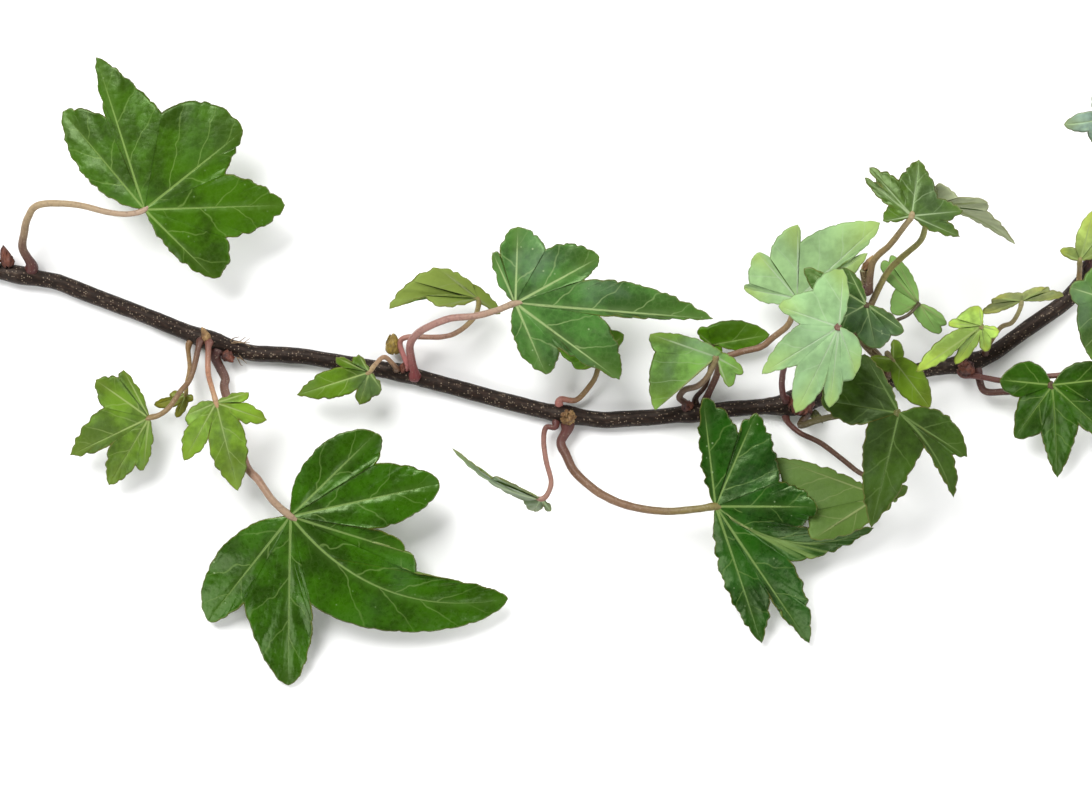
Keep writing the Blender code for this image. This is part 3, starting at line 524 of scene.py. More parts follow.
def ripple(seed: int, size: float, *coords: np.ndarray) -> np.ndarray:
    """Soft noise of about -1 to 1: a sum of sine waves in seeded directions.

    Args:
        seed: picks the directions and phases.
        size: length of the longest wave, in the coordinates' unit.
        coords: one array for each coordinate.

    Returns:
        The noise at each place.
    """
    draw = np.random.default_rng(seed)
    total = np.zeros(np.broadcast(*coords).shape)
    for octave in range(3):
        for _ in range(4):
            way = draw.normal(size=len(coords))
            way *= 2 * np.pi * 1.9**octave / (size * np.linalg.norm(way))
            place = sum(w * c for w, c in zip(way, coords))
            total += np.sin(place + draw.uniform(0, 6.28)) / 1.7**octave
    return total / 4.2


def ease(x: np.ndarray) -> np.ndarray:
    """Smooth step from 0 to 1, as 3x^2 - 2x^3 with x held between 0 and 1."""
    x = np.clip(x, 0.0, 1.0)
    return x * x * (3 - 2 * x)


def stem_radius(x: np.ndarray) -> np.ndarray:
    """Stem radius: half its diameter, and a bell curve at each node."""
    swell = sum(n.extra * np.exp(-((x - n.place) / n.width) ** 2) for n in NODES.values())
    return STEM_DIAMETER / 2 + swell


def stem_centre(x: float) -> Tuple[np.ndarray, np.ndarray]:
    """Centre and direction of the stem at a place along X."""
    here = np.array([x, np.interp(x, STEM_LINE[:, 0], STEM_LINE[:, 1]), float(stem_radius(x))])
    rise = (np.interp(x + 1, STEM_LINE[:, 0], STEM_LINE[:, 1])
            - np.interp(x - 1, STEM_LINE[:, 0], STEM_LINE[:, 1])) / 2
    return here, unit(np.array([1.0, rise, 0.0]))


def around(direction: np.ndarray, turn: float) -> np.ndarray:
    """Unit vector square to a direction, turned by degrees from the +Y side upwards."""
    side = unit(np.cross([0.0, 0.0, 1.0], direction))
    up = unit(np.cross(direction, side))
    return side * math.cos(math.radians(turn)) + up * math.sin(math.radians(turn))


def shoot_path() -> np.ndarray:
    """Side shoot's centre line, from its foot on the stem to its end."""
    centre, direction = stem_centre(NODES["shoot"].place)
    out = around(direction, SHOOT_TURN)
    foot = centre + out * (float(stem_radius(NODES["shoot"].place)) + CLEARANCE)
    return smooth_path(np.vstack([foot, foot + out * SHOOT_START, SHOOT_LINE]), SHOOT_STEP)


class Fabric:
    """A welded triangle mesh with numbers on its corners, in millimetres."""

    def __init__(self, points: np.ndarray, faces: np.ndarray, corners: Dict[str, np.ndarray]) -> None:
        """Keep the points, the triangles and each corner attribute (faces x 3 x 3)."""
        self.points = points
        self.faces = faces
        self.corners = corners

    @staticmethod
    def join(parts: Sequence["Fabric"]) -> "Fabric":
        """One mesh of several, side by side."""
        starts = np.cumsum([0] + [len(p.points) for p in parts[:-1]])
        return Fabric(np.vstack([p.points for p in parts]),
                      np.vstack([p.faces + s for p, s in zip(parts, starts)]),
                      {k: np.vstack([p.corners[k] for p in parts]) for k in parts[0].corners})

    def weld(self) -> "Fabric":
        """Merge points that lie on the same place, and drop what then has no area."""
        keys = np.round(self.points / WELD).astype(np.int64)
        _, first, back = np.unique(keys, axis=0, return_index=True, return_inverse=True)
        faces = back.reshape(-1)[self.faces]
        whole = (faces != np.roll(faces, -1, axis=1)).all(axis=1)
        return Fabric(self.points[first], faces[whole], {k: a[whole] for k, a in self.corners.items()})

    def normals(self) -> np.ndarray:
        """Each point's normal: the sum of its triangles' area vectors, at length one."""
        a, b, c = (self.points[self.faces[:, k]] for k in range(3))
        area = np.cross(b - a, c - a)
        total = np.zeros_like(self.points)
        for k in range(3):
            np.add.at(total, self.faces[:, k], area)
        return unit(total)

    def soften(self, values: np.ndarray, rounds: int) -> np.ndarray:
        """Values at the points, each blended with its neighbours' mean, some times over."""
        pairs = np.vstack([self.faces[:, [0, 1]], self.faces[:, [1, 2]], self.faces[:, [2, 0]]])
        count = np.bincount(pairs.ravel(), minlength=len(values)).astype(float)
        for _ in range(rounds):
            total = (np.bincount(pairs[:, 0], values[pairs[:, 1]], len(values))
                     + np.bincount(pairs[:, 1], values[pairs[:, 0]], len(values)))
            values = 0.5 * values + 0.5 * total / np.maximum(count, 1)
        return values

    def build(self, name: str, shift: np.ndarray, material: bpy.types.Material) -> bpy.types.Object:
        """Blender object of the mesh, at the origin, with its place in its points.

        Args:
            name: the object's name.
            shift: from the drawing board to the frame, in millimetres.
            material: the one material.

        Returns:
            The object, linked to the scene.
        """
        mesh = bpy.data.meshes.new(name)
        mesh.from_pydata((self.points + shift) * MM, [], self.faces)
        for key, values in self.corners.items():
            layer = mesh.attributes.new(key, "FLOAT_VECTOR", "CORNER")
            layer.data.foreach_set("vector", values.astype(np.float32).ravel())
        mesh.shade_smooth()
        mesh.materials.append(material)
        thing = bpy.data.objects.new(name, mesh)
        bpy.context.scene.collection.objects.link(thing)
        return thing


def grid_fabric(points: np.ndarray, corners: Dict[str, np.ndarray], flip: bool = False) -> Fabric:
    """Triangles over a grid of points, two to a cell.

    Args:
        points: rows x columns x 3; rows x columns faces upwards where their
            cross product points out.
        corners: a rows x columns x 3 array for each attribute.
        flip: turn the faces over.

    Returns:
        The mesh, not yet welded.
    """
    rows, columns = points.shape[:2]
    index = np.arange(rows * columns).reshape(rows, columns)
    a, b, c, d = index[:-1, :-1], index[1:, :-1], index[1:, 1:], index[:-1, 1:]
    faces = np.concatenate([np.stack(t, -1).reshape(-1, 3) for t in ((a, b, c), (a, c, d))])
    if flip:
        faces = faces[:, ::-1]
    flat = {k: v.reshape(-1, 3)[faces] for k, v in corners.items()}
    return Fabric(points.reshape(-1, 3), faces, flat)


class Tube:
    """A round body swept along a path: stems, stalks, roots and buds."""

    def __init__(self, path: np.ndarray, radii: np.ndarray, sides: int) -> None:
        """Keep the stations, their radii and the number of sides."""
        self.path = path
        self.radii = radii
        self.sides = sides

    def frames(self) -> Tuple[np.ndarray, np.ndarray, np.ndarray]:
        """Direction, side and lift at each station, with no twist between stations."""
        along = unit(np.gradient(self.path, axis=0))
        side = unit(np.cross(along[0], [0.31, 0.2, 0.93]))
        sides = []
        for way in along:
            side = unit(side - way * float(side @ way))
            sides.append(side)
        across = np.array(sides)
        return along, across, np.cross(along, across)

    def fabric(self, relief: Optional[np.ndarray] = None, cap: int = 5) -> Fabric:
        """Surface of the tube: centre + radius (cos a side + sin a lift), with flat ends.

        Args:
            relief: stations x sides, added to the radius.
            cap: rings that close each end.

        Returns:
            The welded mesh.  Corner attribute "run" holds the share of the
            length, the angle share and, on a cut end, the distance from its
            middle as a share of the radius (elsewhere one).
        """
        along, across, lift = self.frames()
        angle = np.linspace(0, 2 * np.pi, self.sides + 1)[None, :, None]
        radius = self.radii[:, None] + (np.zeros((1, self.sides)) if relief is None else relief)
        radius = np.concatenate([radius, radius[:, :1]], axis=1)[:, :, None]
        ring = np.cos(angle) * across[:, None] + np.sin(angle) * lift[:, None]
        wall = self.path[:, None] + ring * radius
        ends = np.linspace(0, 1, cap + 1)[:-1]
        shrink = np.sin(ends * np.pi / 2)[:, None, None]
        first = self.path[0] + (wall[0] - self.path[0])[None] * shrink
        last = self.path[-1] + (wall[-1] - self.path[-1])[None] * shrink[::-1]
        points = np.concatenate([first, wall, last])
        length = len(self.path)
        share = np.concatenate([np.zeros(cap), np.linspace(0, 1, length), np.ones(cap)])
        middle = np.concatenate([shrink.ravel(), np.ones(length), shrink.ravel()[::-1]])
        turn = np.linspace(0, 1, self.sides + 1)
        run = np.stack(np.broadcast_arrays(share[:, None], turn[None], middle[:, None]), axis=-1)
        return grid_fabric(points, {"run": run}, flip=True).weld()


@dataclass(frozen=True)
class HalfLobe:
    """Half of a lobe: vein end, vein bow, notch, outward side, fullness and how blunt its tip is."""

    tip: np.ndarray
    bow: np.ndarray
    corner: np.ndarray
    side: int
    full: float
    blunt: float


class Leaf:
    """One leaf: a blade with veins and a scalloped margin, and its stalk."""

    CELL = 0.42           # width of a grid cell, in millimetres
    STRETCH = 1.25        # how much longer than wide a cell is
    SMALLEST = (14, 7)    # fewest cells along and across half a lobe
    FULL_REACH = 40.0     # reach of a large leaf, whose scale is one
    NEAR = (0.3, 1.4)     # margin's first handle: share of its chord, share of its fullness
    FAR = (0.72, 0.8)     # and its second
    BLUNT = (0.22, 1.6)   # what a blunt tip adds to the second: share of the chord, way outwards
    PITCH = 4.2           # length of a scallop on a large leaf
    WAVE = 11.0           # length of the waves of a large leaf's margin
    ARCH = 0.16           # rise of a blade between vein and margin, as a share of the width
    RIB_GAP = 8.0         # distance between side veins on a large leaf
    COTANGENT = 1.05      # of the angle between a side vein and its main vein
    LIFT = 0.9            # height by which the margin curls up at a notch of a large leaf
    SOFTENING = 14        # rounds by which the blade's folds are softened
    EDGE_ROUND = 0.3      # width over which the blade thins to its margin
    SWELL = 0.14          # height of a large leaf's cells between side veins
    GROOVE = 0.05         # depth of its main veins above
    RIDGE = 0.20          # and their height below
    LEATHER = 0.035       # height of the fine unevenness
    STALK_STEP = 0.3      # between the stations of a stalk
    STALK_SIDES = 20

    def __init__(self, number: str, plan: LeafPlan) -> None:
        """Keep the plan, and work out the leaf's size and its random seed."""
        self.number = number
        self.plan = plan
        self.seed = int(number) * 17
        self.reach = max(math.hypot(*tip[:2]) for tip in plan.tips)
        self.scale = (self.reach / self.FULL_REACH) ** 0.5

    def half_lobes(self) -> List[HalfLobe]:
        """Both halves of each lobe, anticlockwise.

        A notch lies as high as the mean of its two veins there, each rising as
        the power DROOP of the distance.
        """
        plan = self.plan
        tips = [np.array(tip[:3], float) for tip in plan.tips]
        corners = [np.zeros(3)]
        for (x, y), left, right in zip(plan.notches, tips, tips[1:]):
            shares = [min(1.0, math.hypot(x, y) / math.hypot(t[0], t[1])) ** DROOP for t in (left, right)]
            corners.append(np.array([x, y, (left[2] * shares[0] + right[2] * shares[1]) / 2]))
        corners.append(np.zeros(3))
        halves = []
        for i, (tip, row) in enumerate(zip(tips, plan.tips)):
            last = i == len(tips) - 1
            full = row[3:5] or (plan.full[0 if i == 0 else 1], plan.full[2 if last else 1])
            bow = np.array([-tip[1], tip[0], 0.0]) * sum(row[5:])
            halves.append(HalfLobe(tip, bow, corners[i], -1, full[0], plan.blunt))
            halves.append(HalfLobe(tip, bow, corners[i + 1], 1, full[1], plan.blunt))
        return halves

    @staticmethod
    def margin(half: HalfLobe, u: np.ndarray) -> np.ndarray:
        """Plain margin of half a lobe: a cubic from its notch, full at first, to its tip."""
        chord = half.tip - half.corner
        out = unit(np.array([-chord[1], chord[0], 0.0])) * half.side
        bulge = out * half.full * np.linalg.norm(chord)
        first = half.corner + chord * Leaf.NEAR[0] + bulge * Leaf.NEAR[1]
        second = (half.corner + chord * (Leaf.FAR[0] + Leaf.BLUNT[0] * half.blunt) + bulge * Leaf.FAR[1]
                  + out * Leaf.BLUNT[1] * half.blunt)
        return (half.corner * (1 - u) ** 3 + first * 3 * u * (1 - u) ** 2
                + second * 3 * u * u * (1 - u) + half.tip * u**3)

    def scallops(self, half: HalfLobe, edge: np.ndarray, u: np.ndarray, index: int) -> np.ndarray:
        """Margin with its scallops: uneven arches |sin| along its length, none at tip and notch."""
        step = np.gradient(edge, axis=0)
        run = np.cumsum(np.linalg.norm(step, axis=1))[:, None]
        normal = unit(np.stack([-step[:, 1], step[:, 0], np.zeros(len(step))], axis=1)) * half.side
        count = max(1, round(float(run[-1, 0]) / (self.PITCH * self.scale)))
        phase = run / run[-1] * count + 0.35 * ripple(self.seed + index, 9.0, run)
        arch = 1.2 * np.abs(np.sin(np.pi * phase)) - 0.6
        arch = arch + 0.45 * ripple(self.seed + index + 50, 3.4, run)
        return edge + normal * self.plan.teeth * self.scale * arch * np.sin(np.pi * u) ** 0.6

    def patch(self, half: HalfLobe, index: int, cells: Tuple[int, int]) -> Tuple[Fabric, np.ndarray]:
        """Half a lobe as a surface from its vein (v = 0) to its margin (v = 1).

        The point is vein(u) + v (margin(u) - vein(u)), arched by a parabola in
        v, with waves of the plan's ruffle that grow as v^2.

        Args:
            half: the half lobe.
            index: its number on the leaf.
            cells: cells along the vein and across.

        Returns:
            The mesh, and a mark on each point that lies on the margin.
        """
        u = np.linspace(0, 1, cells[0] + 1)[:, None]
        v = (np.linspace(0, 1, cells[1] + 1) ** 1.25)[None, :]
        vein = np.hstack([half.tip[:2] * u, half.tip[2] * u**DROOP]) + half.bow * 4 * u * (1 - u)
        edge = self.scallops(half, self.margin(half, u), u, index)
        span = edge - vein
        points = vein[:, None] + span[:, None] * v[..., None]
        width = self.square_part(span, np.gradient(vein, axis=0))
        reach = self.square_part(span, np.gradient(edge, axis=0))
        run = np.cumsum(np.linalg.norm(np.gradient(edge, axis=0), axis=1))[:, None]
        wave = ripple(self.seed + index + 90, self.WAVE * self.scale, run) * np.sin(np.pi * u)
        points[..., 2] += self.ARCH * width * v * (1 - v) + self.plan.ruffle * self.scale * wave * v**2
        if np.any(half.corner):
            points[..., 2] += self.LIFT * self.scale * np.exp(-((u / 0.22) ** 2)) * v**3
        length = float(np.linalg.norm(half.tip))
        start = float(half.corner @ half.tip) / length**2
        origin = (u + v * start * (1 - u)) * length - self.COTANGENT * (v * width) ** 0.94
        phase = origin / (self.RIB_GAP * self.scale) + (0.12 if half.side > 0 else 0.55)
        spacing = self.rib_spacing(points, phase, u.ravel(), v.ravel())
        strength = (ease((origin / length - 0.06) / 0.1) * (1 - ease((u - 0.78) / 0.2)) * (1 - 0.6 * v)
                    * ease((width - 1.0) / 2.0) * ease(spacing / (self.RIB_GAP * self.scale) * 4 - 1))
        joined = np.broadcast_arrays
        corners = {
            "vein": np.stack(joined(v * width, phase, spacing), axis=-1),
            "place": np.stack(joined(u * np.ones_like(v), (1 - v) * reach, strength), axis=-1),
        }
        fabric = grid_fabric(points + np.array(self.plan.joint), corners, flip=half.side < 0)
        at_joint = (u == 0) & (v >= 0) & (not np.any(half.corner))
        on_edge = np.broadcast_to((v == 1) | (u == 1) | at_joint, points.shape[:2])
        return fabric, on_edge.ravel()

    @staticmethod
    def square_part(span: np.ndarray, along: np.ndarray) -> np.ndarray:
        """Length of each span's part square to a direction, seen from above."""
        way = unit(along[:, :2])
        return np.abs(span[:, 0] * way[:, 1] - span[:, 1] * way[:, 0])[:, None]

    @staticmethod
    def rib_spacing(points: np.ndarray, phase: np.ndarray, u: np.ndarray, v: np.ndarray) -> np.ndarray:
        """Millimetres for one unit of phase: one over the phase's slope on the surface."""
        pu, pv = np.gradient(points, u, axis=0), np.gradient(points, v, axis=1)
        fu, fv = np.gradient(phase, u, axis=0), np.gradient(phase, v, axis=1)
        e, f, g = (pu * pu).sum(-1), (pu * pv).sum(-1), (pv * pv).sum(-1)
        slope = (g * fu**2 - 2 * f * fu * fv + e * fv**2) / np.maximum(e * g - f * f, 1e-4)
        return 1 / np.sqrt(np.maximum(slope, 1e-4))

    def blade(self) -> Fabric:
        """The whole blade, closed: upper and lower face meet along the margin.

        The middle surface is softened in height, then each face stands off it
        by half the thickness, which falls to nothing at the margin as a
        quarter circle.  Veins sink into the upper face and stand out below it,
        and the cells between side veins swell a little.
        """
        halves = self.half_lobes()
        third = 0.35
        spans = [self.margin(h, np.array([[third]])) - h.tip * third for h in halves]
        widest = max(float(np.linalg.norm(span)) for span in spans)
        across = max(self.SMALLEST[1], round(widest / self.CELL))
        parts, marks = [], []
        for index, half in enumerate(halves):
            length = float(np.linalg.norm(half.tip))
            along = max(self.SMALLEST[0], round(length / self.CELL / self.STRETCH))
            fabric, on_edge = self.patch(half, index, (along, across))
            parts.append(fabric)
            marks.append(on_edge)
        loose = Fabric.join(parts)
        sheet = loose.weld()
        rim_points = loose.points[np.concatenate(marks)]
        on_rim = np.isin(self.single_keys(sheet.points), self.single_keys(rim_points))
        sheet.points[:, 2] = sheet.soften(sheet.points[:, 2], self.SOFTENING)
        mid, rib, rim, along, strength = self.point_values(sheet)
        normal = sheet.normals()
        half_wall = BLADE_THICKNESS / 2 * np.sqrt(1 - (1 - np.clip(rim / self.EDGE_ROUND, 0, 1)) ** 2)
        groove = np.exp(-((mid / (0.34 * self.scale + 0.08)) ** 2)) * (1 - 0.7 * along)
        cell = np.sin(np.pi * rib) ** 2 * strength * ease(mid / 1.2) * ease(rim / 1.5)
        leather = ripple(self.seed + 7, 2.2, *sheet.points.T) * ease(rim / 1.0)
        swell = self.SWELL * self.scale * cell - self.GROOVE * self.scale * groove + self.LEATHER * leather
        ridge = self.RIDGE * self.scale * groove * ease(rim / 0.6) - swell * 0.5
        upper, lower = half_wall + swell * ease(rim / 0.6), half_wall + ridge
        if self.plan.face is Face.LOWER:
            upper, lower = half_wall + ridge, half_wall + swell * ease(rim / 0.6)
        top = sheet.points + normal * np.where(on_rim, 0, upper)[:, None]
        bottom = (sheet.points - normal * np.where(on_rim, 0, lower)[:, None])[~on_rim]
        under = np.where(on_rim, np.arange(len(top)), len(top) + np.cumsum(~on_rim) - 1)
        faces = np.vstack([sheet.faces, under[sheet.faces][:, ::-1]])
        corners = {k: np.concatenate([a, a[:, ::-1]]) for k, a in sheet.corners.items()}
        sign = np.repeat([1.0, -1.0], len(sheet.faces)) * self.plan.face.value
        corners["face"] = np.repeat(sign, 9).reshape(-1, 3, 3)
        return Fabric(np.vstack([top, bottom]), faces, corners)

    @staticmethod
    def single_keys(points: np.ndarray) -> np.ndarray:
        """One whole number for each point, the same for points in one place."""
        rows = np.round(points / WELD).astype(np.int64)
        return (rows[:, 0] * 2**21 + rows[:, 1]) * 2**21 + rows[:, 2]

    def plain_middle(self) -> np.ndarray:
        """Middle of the box round the leaf's plain outline, on the board."""
        u = np.linspace(0, 1, 21)[:, None]
        edge = np.vstack([self.margin(half, u) for half in self.half_lobes()])
        edge = edge + np.array(self.plan.joint)
        return (edge.min(axis=0) + edge.max(axis=0)) / 2

    def point_values(self, sheet: Fabric) -> Tuple[np.ndarray, ...]:
        """Each point's vein distance, rib phase, rim distance, place along and rib strength."""
        columns = [("vein", 0), ("vein", 1), ("place", 1), ("place", 0), ("place", 2)]
        values = []
        for key, column in columns:
            least = np.full(len(sheet.points), np.inf)
            np.minimum.at(least, sheet.faces.ravel(), sheet.corners[key][..., column].ravel())
            values.append(least)
        return tuple(values)

    @property
    def inside(self) -> float:
        """Length by which a stalk that meets the edge goes on under the blade."""
        return min(3.0, self.reach * 0.12)

    def stalk_line(self) -> np.ndarray:
        """Points that the stalk passes, from inside its stem to inside its blade."""
        stalk = self.plan.stalk
        if stalk.grows is Grows.MAIN:
            centre, direction = stem_centre(stalk.place)
            radius = float(stem_radius(stalk.place))
        else:
            path = shoot_path()
            index = min(len(path) - 2, round(stalk.place * (len(path) - 1)))
            centre = path[index]
            direction = unit(path[index - 1] - path[index + 1])
            radius = SHOOT_DIAMETER / 2 * (1 - SHOOT_TAPER * index / (len(path) - 1))
        out = around(direction, stalk.turn)
        joint = np.array(self.plan.joint)
        heart = sum(np.array(tip[:3], float) for tip in self.plan.tips)
        if stalk.meets is Meets.EDGE:
            inward = unit(heart) * self.inside
            end = [joint + np.array([0, 0, -0.12]), joint + inward + np.array([0, 0, -0.22])]
        else:
            end = [joint + np.array([0, 0, 0.05 * -stalk.meets.value])]
        foot = [centre + out * radius * 0.55, centre + out * (radius + 1.1)]
        return np.vstack([*foot, stalk.route, *end])

    def stalk(self) -> Fabric:
        """The stalk: thick and clasping at its foot, slim above, with fine ridges."""
        stalk = self.plan.stalk
        path = even_path(self.stalk_line(), self.STALK_STEP)
        share = np.linspace(0, 1, len(path))
        run = share * self.STALK_STEP * (len(path) - 1)
        radii = (stalk.foot + (stalk.neck - stalk.foot) * share**STALK_TAPER) / 2
        radii = radii * (1 + 0.45 * np.exp(-((run - 1.0) / 1.1) ** 2))
        left = run[-1] - run
        if stalk.meets is Meets.EDGE:
            radii = radii * (0.12 + 0.88 * ease(left / self.inside))
            radii = radii * (1 + 0.12 * np.exp(-((left - self.inside - 0.8) / 0.8) ** 2))
        else:
            radii = radii * (1 + 0.35 * np.exp(-((left / 0.7) ** 2)))
        angle = np.arange(self.STALK_SIDES)[None] / self.STALK_SIDES * 2 * np.pi
        ridges = 0.045 * np.sin(5 * angle + 0.1 * run[:, None])
        ring = (1.5 * np.cos(angle), 1.5 * np.sin(angle))
        relief = radii[:, None] * (ridges + 0.05 * ripple(self.seed + 3, 3.0, run[:, None], *ring))
        return Tube(path, radii, self.STALK_SIDES).fabric(relief)


class Shader:
    """A Principled material with short calls for its nodes."""

    def __init__(self, name: str) -> None:
        """Start a material with its one shader."""
        self.material = bpy.data.materials.new(name)
        self.material.use_nodes = True
        self.tree = self.material.node_tree
        self.shader = self.tree.nodes["Principled BSDF"]

    def node(self, kind: str, settings: Optional[dict] = None, **inputs: object) -> bpy.types.Node:
        """Add a node; its inputs are given by name or, as i0, i1, by place.

        Args:
            kind: the node's class without ShaderNode.
            settings: the node's own properties.
            inputs: a value or a socket for each input.

        Returns:
            The node.
        """
        made = self.tree.nodes.new("ShaderNode" + kind)
        for key, value in (settings or {}).items():
            setattr(made, key, value)
        for key, value in inputs.items():
            spot = int(key[1:]) if key[0] == "i" and key[1:].isdigit() else key.replace("_", " ")
            self.feed(made.inputs[spot], value)
        return made

    def feed(self, socket: bpy.types.NodeSocket, value: object) -> None:
        """Link a socket to a socket, or set its value."""
        if isinstance(value, bpy.types.NodeSocket):
            self.tree.links.new(value, socket)
        else:
            socket.default_value = value

    def math(self, operation: str, *values: object, clamp: bool = False) -> bpy.types.NodeSocket:
        """Result of a Math node on the given values."""
        inputs = {f"i{k}": v for k, v in enumerate(values)}
        return self.node("Math", {"operation": operation, "use_clamp": clamp}, **inputs).outputs[0]

    times = partialmethod(math, "MULTIPLY")
    plus = partialmethod(math, "ADD")
    minus = partialmethod(math, "SUBTRACT")
    most = partialmethod(math, "MAXIMUM")
    times_plus = partialmethod(math, "MULTIPLY_ADD")
    fold = partialmethod(math, "PINGPONG")

    def mix(self, share: object, first: object, second: object) -> bpy.types.NodeSocket:
        """Colour between two colours."""
        return self.node("Mix", {"data_type": "RGBA"}, i0=share, i6=first, i7=second).outputs[2]

    def band(self, value: object, low: object, high: object) -> bpy.types.NodeSocket:
        """0 below low, 1 above high and a smooth step between (low may exceed high)."""
        made = self.node("MapRange", {"interpolation_type": "SMOOTHSTEP"}, i0=value, i1=low, i2=high)
        return made.outputs[0]

    def part(self, name: str) -> List[bpy.types.NodeSocket]:
        """The three numbers of a corner attribute."""
        read = self.node("Attribute", {"attribute_name": name})
        return list(self.node("SeparateXYZ", i0=read.outputs["Vector"]).outputs)

    def place(self) -> bpy.types.NodeSocket:
        """Object coordinates."""
        return self.node("TexCoord").outputs["Object"]

    def noise(self, scale: float, detail: float = 3.0, vector: object = None) -> bpy.types.NodeSocket:
        """Noise value from 0 to 1, scale waves to a metre."""
        made = self.node("TexNoise", Vector=vector or self.place(), Scale=scale, Detail=detail)
        return made.outputs[0]

    def cells(self, scale: float, feature: str) -> bpy.types.Node:
        """Voronoi node, scale cells to a metre."""
        return self.node("TexVoronoi", {"feature": feature}, Vector=self.place(), Scale=scale)

    def surface(self, **inputs: object) -> None:
        """Link or set the shader's own inputs, with _ for a space in their names."""
        for key, value in inputs.items():
            self.feed(self.shader.inputs[key.replace("_", " ")], value)

    def bump(self, height: object, strength: float, distance: float) -> None:
        """Give the shader its bump, distance in metres."""
        made = self.node("Bump", Strength=strength, Distance=distance, Height=height)
        self.feed(self.shader.inputs["Normal"], made.outputs[0])


class LeafFinish:
    """Material of one blade: lamina, veins, net of fine veins, rim, specks and patches of painted sheen.
    """

    def __init__(self, skin: LeafSkin, scale: float) -> None:
        """Keep the skin and the leaf's scale, which sets how wide its veins are."""
        self.skin = skin
        self.scale = scale

    def make(self, name: str) -> bpy.types.Material:
        """Build the material.

        The colour goes from deep to light by two noises and turns to the
        vein's colour near the main vein and near whole values of the rib
        phase.  The lower face has its own two colours.

        Args:
            name: the material's name.

        Returns:
            The material.
        """
        skin, s = self.skin, Shader(name)
        mid, rib, spacing = s.part("vein")
        along, rim, strength = s.part("place")
        face = s.part("face")[0]
        wide = s.noise(120.0, 2.0)
        fine = s.noise(900.0, 4.0)
        tone = s.plus(s.times(wide, 0.75), s.times(fine, 0.25))
        lamina = s.mix(s.band(tone, 0.36, 0.64), skin.shade(-1.0), skin.shade(1.0))
        warm = (skin.tone[0] * 1.12, skin.tone[1] * 1.03, skin.tone[2] * 0.6)
        lamina = s.mix(s.times(s.band(along, 0.3, 1.0), 0.6), lamina, paint(*warm))
        main = self.main_vein(s, mid, along)
        side = self.side_veins(s, rib, spacing, strength, along)
        net = s.band(s.cells(1000.0, "DISTANCE_TO_EDGE").outputs["Distance"], 0.12, 0.0)
        near = s.times(s.band(mid, 1.6 * self.scale, 0.2), 0.10)
        veins = s.most(main, s.times(side, 0.58))
        veins = s.most(veins, s.times(net, 0.05))
        veins = s.most(veins, near)
        seen = s.times(veins, skin.veining + 0.3, clamp=True)
        upper = s.mix(seen, lamina, paint(*skin.vein))
        # pale patches by noise: painted sheen on the upper face
        painted_sheen = s.times(s.band(s.noise(75.0, 3.0), 0.50, 0.72), skin.painted_sheen)
        upper = s.mix(painted_sheen, upper, paint(150, 180, 150))
        dots = s.times(self.specks(s), skin.specks, clamp=True)
        upper = s.mix(dots, upper, paint(190, 212, 160))
        lighter = paint(*(int(c * 1.12) for c in skin.under))
        back = s.mix(s.band(tone, 0.3, 0.7), paint(*skin.under), lighter)
        back = s.mix(s.times(veins, 0.85), back, paint(*skin.under_vein))
        colour = s.mix(s.band(face, -0.2, 0.2), back, upper)
        colour = s.mix(s.times(s.band(rim, 0.30, 0.04), 0.5), colour, paint(*skin.rim))
        rough = s.plus(skin.gloss, s.times(s.minus(fine, 0.4), 0.2))
        rough = s.plus(rough, s.times(veins, 0.12))
        s.surface(Base_Color=colour, Roughness=rough, Specular_IOR_Level=0.45,
                  Specular_Tint=(*skin.sheen, 1.0))
        puff = s.cells(1000.0, "F1").outputs["Distance"]
        height = s.minus(s.times(fine, 0.8), s.times(puff, 0.5))
        height = s.minus(height, s.times(veins, 0.3))
        s.bump(height, 0.4, 0.00014)
        return s.material

    def main_vein(self, s: Shader, mid: object, along: object) -> bpy.types.NodeSocket:
        """Mask of the main vein: from 0.24 mm half width at the joint to 0.04 mm at the tip."""
        half = s.times_plus(along, -0.20 * self.scale, 0.24 * self.scale)
        soft = s.plus(half, 0.13)
        mask = s.band(mid, soft, s.times(half, 0.5))
        return s.times(mask, s.band(along, 1.05, 0.55))

    def side_veins(self, s: Shader, rib: object, spacing: object, strength: object,
                   along: object) -> bpy.types.NodeSocket:
        """Mask of the side veins, where the bent rib phase is near a whole number."""
        bend = s.times(s.minus(s.noise(260.0, 2.0), 0.5), 0.42)
        away = s.fold(s.plus(rib, bend), 0.5)
        away = s.times(away, spacing)
        width = s.times_plus(along, -0.04, 0.10 * self.scale)
        mask = s.band(away, s.plus(width, 0.13), s.times(width, 0.3))
        return s.times(mask, strength)

    def specks(self, s: Shader) -> bpy.types.NodeSocket:
        """Mask of small pale dots: one random cell in a few, in patches."""
        cell = s.cells(900.0, "F1")
        dot = s.band(cell.outputs["Distance"], 0.22, 0.10)
        pick = s.node("SeparateColor", i0=cell.outputs["Color"]).outputs[0]
        patch = s.band(s.noise(60.0, 2.0), 0.42, 0.62)
        return s.times(s.times(dot, s.band(pick, 0.86, 0.90)), patch)


